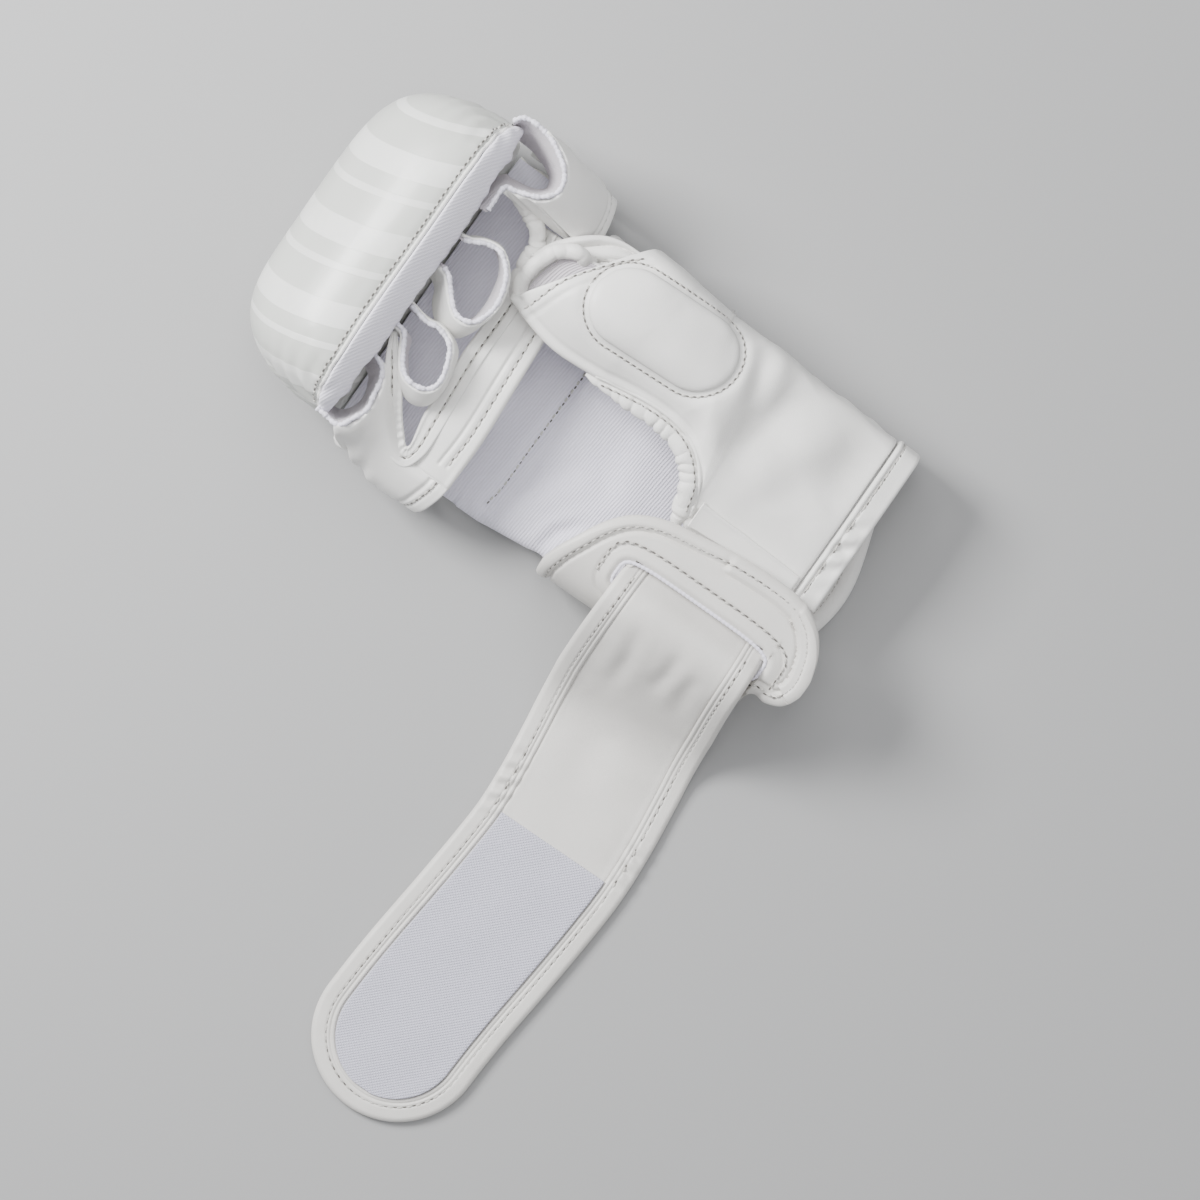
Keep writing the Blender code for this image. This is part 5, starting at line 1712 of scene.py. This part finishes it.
def inside_line(line, inset, step=0.001):
    """A flat line again, moved in from the outline."""
    even = evened(line, step)
    ahead = unit(np.gradient(even, axis=0))
    moved = even + inset * np.stack([-ahead[:, 1], ahead[:, 0]], -1)
    return moved[away(moved, even)[0] > 0.93 * abs(inset)]


def slot_line(grow):
    """Flat rounded line round the strap's slot."""
    way = plate_way(WAY_SHARES)
    middle = np.interp(-SLOT_MIDDLE[0] * BREADTH, -way[:, 0], way_run()), SLOT_MIDDLE[1] * PALM
    turn = np.linspace(0, 2 * math.pi, 240)
    x = middle[0] + (0.5 * SLOT_WIDTH + grow) * blunt(np.cos(turn), SLOT_ROUNDING)
    y = middle[1] + (0.5 * SLOT_LENGTH + grow) * blunt(np.sin(turn), SLOT_ROUNDING)
    return evened(np.stack([x, y], -1), 0.001)


def open_ring(ring, margin, back):
    """A line round the slot without its part at the plate's low side, where it is cut open."""
    limit = slot_line(0.0)[:, 0].max()
    start = int(np.argmax(ring[:, 0] >= limit - back))
    ring = np.roll(ring[:-1], -start, axis=0)
    return ring[ring[:, 0] < limit - margin]


def cut_slot(plate):
    """Cut the strap's slot through the plate."""
    cutter = bpy.data.meshes.new("slot_cutter")
    shape = bmesh.new()
    bmesh.ops.create_cube(shape, size=1.0)
    bmesh.ops.scale(shape, vec=(SLOT_WIDTH, SLOT_LENGTH, 8 * PLATE_DEPTH), verts=shape.verts)
    upright = [edge for edge in shape.edges
               if abs(edge.verts[0].co.z - edge.verts[1].co.z) > PLATE_DEPTH]
    bmesh.ops.bevel(shape, geom=upright, offset=0.004, segments=5, affect="EDGES")
    middle = SLOT_MIDDLE[0] * BREADTH, SLOT_MIDDLE[1] * PALM, PLATE_WAY[2][1] * RISE
    bmesh.ops.translate(shape, vec=middle, verts=shape.verts)
    shape.to_mesh(cutter)
    shape.free()
    tool = bpy.data.objects.new("slot_cutter", cutter)
    bpy.context.scene.collection.objects.link(tool)
    cut = plate.modifiers.new("slot", "BOOLEAN")
    cut.operation = "DIFFERENCE"
    cut.object = tool
    settle(plate)
    plate.data.shade_smooth()
    plate.data.set_sharp_from_angle(angle=math.radians(55))
    bpy.data.objects.remove(tool, do_unlink=True)


def make_closure_plate():
    """Padded leather plate round the little-finger side of the wrist, with its slot."""
    outline, runs, slot = flat_outline(), way_run(), slot_line(0.0)
    half = 0.5 * PLATE_DEPTH

    def relief(points, u, v):
        run = np.interp(plate_along(u, v), WAY_SHARES, runs)
        flat = np.stack([run, points[..., 1]], -1)
        gap, share = away(flat, outline)
        lapped = share < 0.80
        past = ramp(-flat[..., 1], -LAP_START * PALM, -LAP_START * PALM + 0.0008) * lapped
        reach = BAND_WIDTH + LAP_WIDER * past
        band = 0.0010 * np.clip(1 - ((gap - 0.0030) / 0.0032) ** 2, 0, 1)
        groove = 0.0012 * bell(gap, reach, 0.0008) + 0.0005 * bell(gap, BAND_SEAM, 0.0005)
        step = bell(flat[..., 1], LAP_START * PALM, 0.0007) * lapped
        lap = LAP_HEIGHT * (past - step) * (gap < reach)
        near = away(flat, slot)[0]
        rim = 0.0006 * bell(near, 0.0030, 0.0018) - 0.0012 * bell(near, 0, 0.0014)
        sewn = 0.0006 * bell(near, SLOT_SEAM, 0.0007)
        return band - groove + lap + rim - sewn + 0.0002 * wander(points, 0.013)

    plate = make_sheet("closure_plate_leather", raised(plate_surface), (120, 150), -half, half,
                       "strap", ["closure_plate"], relief)
    cut_slot(plate)


def make_plate_seams():
    """Stitches of the plate's binding and round its slot, and the knit edge of the slot."""
    half = 0.5 * PLATE_DEPTH
    row = inside_line(flat_outline(), BAND_SEAM)
    row = row[(row[:, 1] < -0.022) & (row[:, 0] < way_run()[-1] - 0.004)]
    rows = []
    for line, lapped in ((row, True), (open_ring(slot_line(SLOT_SEAM), 0.002, 0.002), False)):
        run, y = evened(line, 0.001).T
        lap = 0.0009 * ((y < LAP_START * PALM) & lapped)
        rows.append(on_plate(run, y, (half + 0.0001 + lap)[:, None]))
    sew("closure_plate_stitches", rows)
    edge = open_ring(slot_line(0.0002), 0.0010, 0.0004)
    points = evened(on_plate(edge[:, 0], edge[:, 1], 0.6 * half)[0], 0.0005)
    lumps = 0.00075 * (1 + 0.15 * np.sin(np.arange(len(points)) * 1.6))
    make_tube("slot_knit_edge", points, lumps, 8, "cord")


def strap_frame(share):
    """Middle, side and up of the strap at a distance along it; past its way it runs straight on."""
    fine = through(sized(STRAP_WAY), np.linspace(0, 1, 900))
    onward = STRAP_LENGTH * unit(fine[-1] - fine[-2])
    fine = np.concatenate([fine, [fine[-1] + onward]])
    run = run_along(fine)

    def at(distance):
        return np.stack([np.interp(distance, run, fine[:, k]) for k in range(3)], -1)

    step = 0.0012
    side = unit(np.cross(unit(at(share + step) - at(share - step)), (0.0, 0.0, 1.0)))
    return at(share), side, np.cross(side, unit(at(share + step) - at(share - step)))


def on_strap(along, across, height):
    """Carry a flat place on the strap onto its way; the slot pinches it narrower."""
    spot, side, up = strap_frame(along)
    width = across * (1 - STRAP_PINCH * np.clip(1 - along / PINCH_LENGTH, 0, 1))
    return spot + side * width[..., None] + up * height[..., None]


def binding_corner(straight_count, turn_count):
    """Stations round the strap's free end: distance along, then across and ahead of the turn."""
    straight = np.linspace(0, STRAP_TURN, straight_count)
    bend = np.linspace(0, math.pi, turn_count)[1:-1]
    return np.concatenate([
        np.stack([straight, np.ones(straight_count), np.zeros(straight_count)], -1),
        np.stack([np.full(len(bend), STRAP_TURN), np.cos(bend), np.sin(bend)], -1),
        np.stack([straight[::-1], -np.ones(straight_count), np.zeros(straight_count)], -1),
    ])


def round_ended(along, v, half):
    """Place across the strap at share v of its width, which closes in a half round at its end."""
    past = np.clip((along - STRAP_TURN) / STRAP_INNER, 0, 0.9995)
    return (2 * v - 1) * half * np.sqrt(1 - past ** 2)


def make_wrist_strap():
    """Leather strap, gathered where it leaves the slot, and the hook panel near its free end."""
    def core(u, v, height):
        along = (STRAP_TURN + STRAP_INNER) * (1 - (1 - u) ** 1.25)
        return on_strap(along, round_ended(along, v, STRAP_INNER), height)

    def core_relief(points, u, v):
        crown = 0.0007 * (1 - (2 * v - 1) ** 4)
        return folds(points, STRAP_FOLDS) + crown - 0.0006 + 0.0003 * wander(points, 0.03)

    make_sheet("wrist_strap_leather", core, (190, 50), -0.5 * STRAP_DEPTH, 0.5 * STRAP_DEPTH,
               "strap", ["wrist_strap"], core_relief)
    start = STRAP_TURN + STRAP_INNER - HOOK_LENGTH
    low = 0.5 * STRAP_DEPTH + GAP

    def hook(u, v, height):
        along = start + (HOOK_LENGTH - GAP) * (1 - (1 - u) ** 1.4)
        return on_strap(along, round_ended(along, v, STRAP_INNER - 2 * GAP), height)

    make_sheet("hook_panel_cloth", hook, (100, 46), low, low + HOOK_DEPTH, "hook", ["hook_panel"],
               uneven(0.0002, 0.01))


def make_strap_binding():
    """Binding folded and sewn round the strap's edge."""
    corner = binding_corner(210, 80)
    run = np.linspace(0, 1, len(corner))
    half = 0.5 * BINDING_DEPTH

    def binding(u, v, height):
        base, aside, ahead = (np.interp(u, run, corner[:, k]) for k in range(3))
        scale = np.maximum(np.hypot(aside, ahead), 1e-6)
        reach = (0.5 * STRAP_WIDTH - BINDING_WIDTH * (1 - v)) / scale
        rounding = 1 - 0.5 * np.clip(np.abs(2 * v - 1), 0, 1) ** 6
        return on_strap(base + reach * ahead, reach * aside, height * rounding)

    def relief(points, u, v):
        ridge = 0.0011 * bell(v, 0.10, 0.055) - 0.0010 * bell(v, 0.225, 0.035)
        row = -0.0004 * bell(v, 0.40, 0.04)
        kinks = 0.0012 * np.sin(points[..., 0] * 2 * math.pi / 0.0075 + 3 * v)
        kinks *= bell(points[..., 0], -0.152, 0.012)
        return ridge + row + kinks + 0.00025 * wander(points, 0.015)

    make_sheet("strap_binding_leather", binding, (420, 22), -half, half, "strap",
               ["strap_binding"], relief)
    sew("strap_stitches", [lifted(binding, np.linspace(0.045, 0.955, 900), 0.40, half - 0.0004)])


def make_stage():
    """Pale floor, soft studio lights and the camera straight above the glove."""
    scene = bpy.context.scene
    floor = bpy.data.meshes.new("floor")
    corners = [(x * FLOOR_REACH, y * FLOOR_REACH, 0) for x, y in ((-1, -1), (1, -1), (1, 1), (-1, 1))]
    floor.from_pydata(corners, [], [(0, 1, 2, 3)])
    stage = bpy.data.objects.new("floor", floor)
    stage.location.z = -FLOOR_DROP
    material, _, shader = start_material("pale_floor", 0.9)
    shader.inputs["Base Color"].default_value = FLOOR_COLOUR
    floor.materials.append(material)
    scene.collection.objects.link(stage)

    right = Vector((math.cos(CAMERA_TURN), math.sin(CAMERA_TURN), 0))
    up = Vector((-right.y, right.x, 0))
    for name, across, along, height, size, power in LIGHTS:
        lamp = bpy.data.lights.new(name, "AREA")
        lamp.shape = "SQUARE"
        lamp.size = size
        lamp.energy = power
        spot = bpy.data.objects.new(name, lamp)
        beam = Vector((0, 0, height)) + right * across + up * along
        spot.location = Vector(LIT_SPOT) + beam
        spot.rotation_euler = (-beam).to_track_quat("-Z", "Y").to_euler()
        scene.collection.objects.link(spot)
    world = bpy.data.worlds.new("studio")
    world.use_nodes = True
    world.node_tree.nodes["Background"].inputs["Color"].default_value = SKY_COLOUR
    world.node_tree.nodes["Background"].inputs["Strength"].default_value = SKY_STRENGTH
    scene.world = world

    lens = bpy.data.cameras.new("camera")
    lens.lens = LENS_LENGTH
    lens.sensor_width = SENSOR_WIDTH
    camera = bpy.data.objects.new("camera", lens)
    axes = Matrix((right, up, (0, 0, 1))).transposed()
    camera.matrix_world = Matrix.Translation(CAMERA_PLACE) @ axes.to_4x4()
    scene.collection.objects.link(camera)
    scene.camera = camera


class DressStep:
    """Shared options of the operators below."""

    bl_options = {"REGISTER", "UNDO"}


class GLOVE_OT_knuckle_pad(DressStep, bpy.types.Operator):
    """Build the padded knuckle guard and the cloth strip on its end face"""

    bl_idname = "glove.knuckle_pad"
    bl_label = "Knuckle Pad"

    def execute(self, context):
        make_knuckle_pad()
        make_pad_strip()
        return {"FINISHED"}


class GLOVE_OT_back(DressStep, bpy.types.Operator):
    """Build the padding over the back of the hand and the back of the wrist"""

    bl_idname = "glove.back"
    bl_label = "Back of the Hand"

    def execute(self, context):
        make_back_padding()
        make_cuff_back()
        return {"FINISHED"}


class GLOVE_OT_lining(DressStep, bpy.types.Operator):
    """Build the ribbed lining that shows through the open palm"""

    bl_idname = "glove.lining"
    bl_label = "Hand Lining"

    def execute(self, context):
        make_hand_lining()
        return {"FINISHED"}


class GLOVE_OT_thumb_panel(DressStep, bpy.types.Operator):
    """Build the leather over the thumb and the heel of the palm"""

    bl_idname = "glove.thumb_panel"
    bl_label = "Thumb Panel"

    def execute(self, context):
        make_thumb_panel()
        return {"FINISHED"}


class GLOVE_OT_wrist_hem(DressStep, bpy.types.Operator):
    """Build the turned wrist hem and the sewn-down end of the strap"""

    bl_idname = "glove.wrist_hem"
    bl_label = "Wrist Hem"

    def execute(self, context):
        make_wrist_hem()
        return {"FINISHED"}


class GLOVE_OT_palm_opening(DressStep, bpy.types.Operator):
    """Build the gathered edge of the palm opening"""

    bl_idname = "glove.palm_opening"
    bl_label = "Palm Opening"

    def execute(self, context):
        make_palm_roll()
        return {"FINISHED"}


class GLOVE_OT_thumb_patch(DressStep, bpy.types.Operator):
    """Build the small swollen pad on the thumb"""

    bl_idname = "glove.thumb_patch"
    bl_label = "Thumb Patch"

    def execute(self, context):
        make_thumb_patch()
        return {"FINISHED"}


class GLOVE_OT_finger_loops(DressStep, bpy.types.Operator):
    """Build the four finger loops"""

    bl_idname = "glove.finger_loops"
    bl_label = "Finger Loops"

    def execute(self, context):
        make_finger_loops()
        return {"FINISHED"}


class GLOVE_OT_palm_bar(DressStep, bpy.types.Operator):
    """Build the hemmed leather bar across the finger roots"""

    bl_idname = "glove.palm_bar"
    bl_label = "Palm Bar"

    def execute(self, context):
        make_palm_bar()
        return {"FINISHED"}


class GLOVE_OT_side_walls(DressStep, bpy.types.Operator):
    """Build the walls beside the fingers and the gathered edge of the slit"""

    bl_idname = "glove.side_walls"
    bl_label = "Side Walls"

    def execute(self, context):
        make_side_walls()
        make_slit_end()
        return {"FINISHED"}


class GLOVE_OT_thumb_sleeve(DressStep, bpy.types.Operator):
    """Build the under layer of the thumb, its lip, its web and its gusset"""

    bl_idname = "glove.thumb_sleeve"
    bl_label = "Thumb Sleeve"

    def execute(self, context):
        make_thumb_underside()
        make_thumb_web()
        make_side_gusset()
        return {"FINISHED"}


class GLOVE_OT_closure_plate(DressStep, bpy.types.Operator):
    """Build the bound plate round the wrist, with the slot for the strap"""

    bl_idname = "glove.closure_plate"
    bl_label = "Closure Plate"

    def execute(self, context):
        make_closure_plate()
        make_plate_seams()
        return {"FINISHED"}


class GLOVE_OT_wrist_strap(DressStep, bpy.types.Operator):
    """Build the wrist strap, its binding and its hook panel"""

    bl_idname = "glove.wrist_strap"
    bl_label = "Wrist Strap"

    def execute(self, context):
        make_wrist_strap()
        make_strap_binding()
        return {"FINISHED"}


class GLOVE_OT_stage(DressStep, bpy.types.Operator):
    """Set up the floor, the lights and the camera"""

    bl_idname = "glove.stage"
    bl_label = "Stage"

    def execute(self, context):
        make_stage()
        return {"FINISHED"}


STEPS = (
    GLOVE_OT_knuckle_pad, GLOVE_OT_back, GLOVE_OT_lining, GLOVE_OT_thumb_panel,
    GLOVE_OT_wrist_hem, GLOVE_OT_palm_opening, GLOVE_OT_thumb_patch, GLOVE_OT_finger_loops,
    GLOVE_OT_palm_bar, GLOVE_OT_side_walls, GLOVE_OT_thumb_sleeve, GLOVE_OT_closure_plate,
    GLOVE_OT_wrist_strap, GLOVE_OT_stage,
)


class GLOVE_PT_dresser(bpy.types.Panel):
    """Sizes, colours and the steps that build the glove"""

    bl_idname = "GLOVE_PT_dresser"
    bl_label = "Sparring Glove"
    bl_space_type = "VIEW_3D"
    bl_region_type = "UI"
    bl_category = "Glove"

    def draw(self, context):
        scene = context.scene
        for settings in (scene.glove_sizes, scene.glove_colours):
            column = self.layout.column(align=True)
            for name in type(settings).__annotations__:
                column.prop(settings, name)
        column = self.layout.column(align=True)
        for step in STEPS:
            column.operator(step.bl_idname)


CLASSES = (GloveSizes, GloveColours, *STEPS, GLOVE_PT_dresser)


def register():
    for item in CLASSES:
        bpy.utils.register_class(item)
    bpy.types.Scene.glove_sizes = PointerProperty(type=GloveSizes)
    bpy.types.Scene.glove_colours = PointerProperty(type=GloveColours)


def unregister():
    del bpy.types.Scene.glove_colours
    del bpy.types.Scene.glove_sizes
    for item in reversed(CLASSES):
        bpy.utils.unregister_class(item)


def main():
    register()
    for step in STEPS:
        group, name = step.bl_idname.split(".")
        getattr(getattr(bpy.ops, group), name)()


if __name__ == "__main__":
    main()
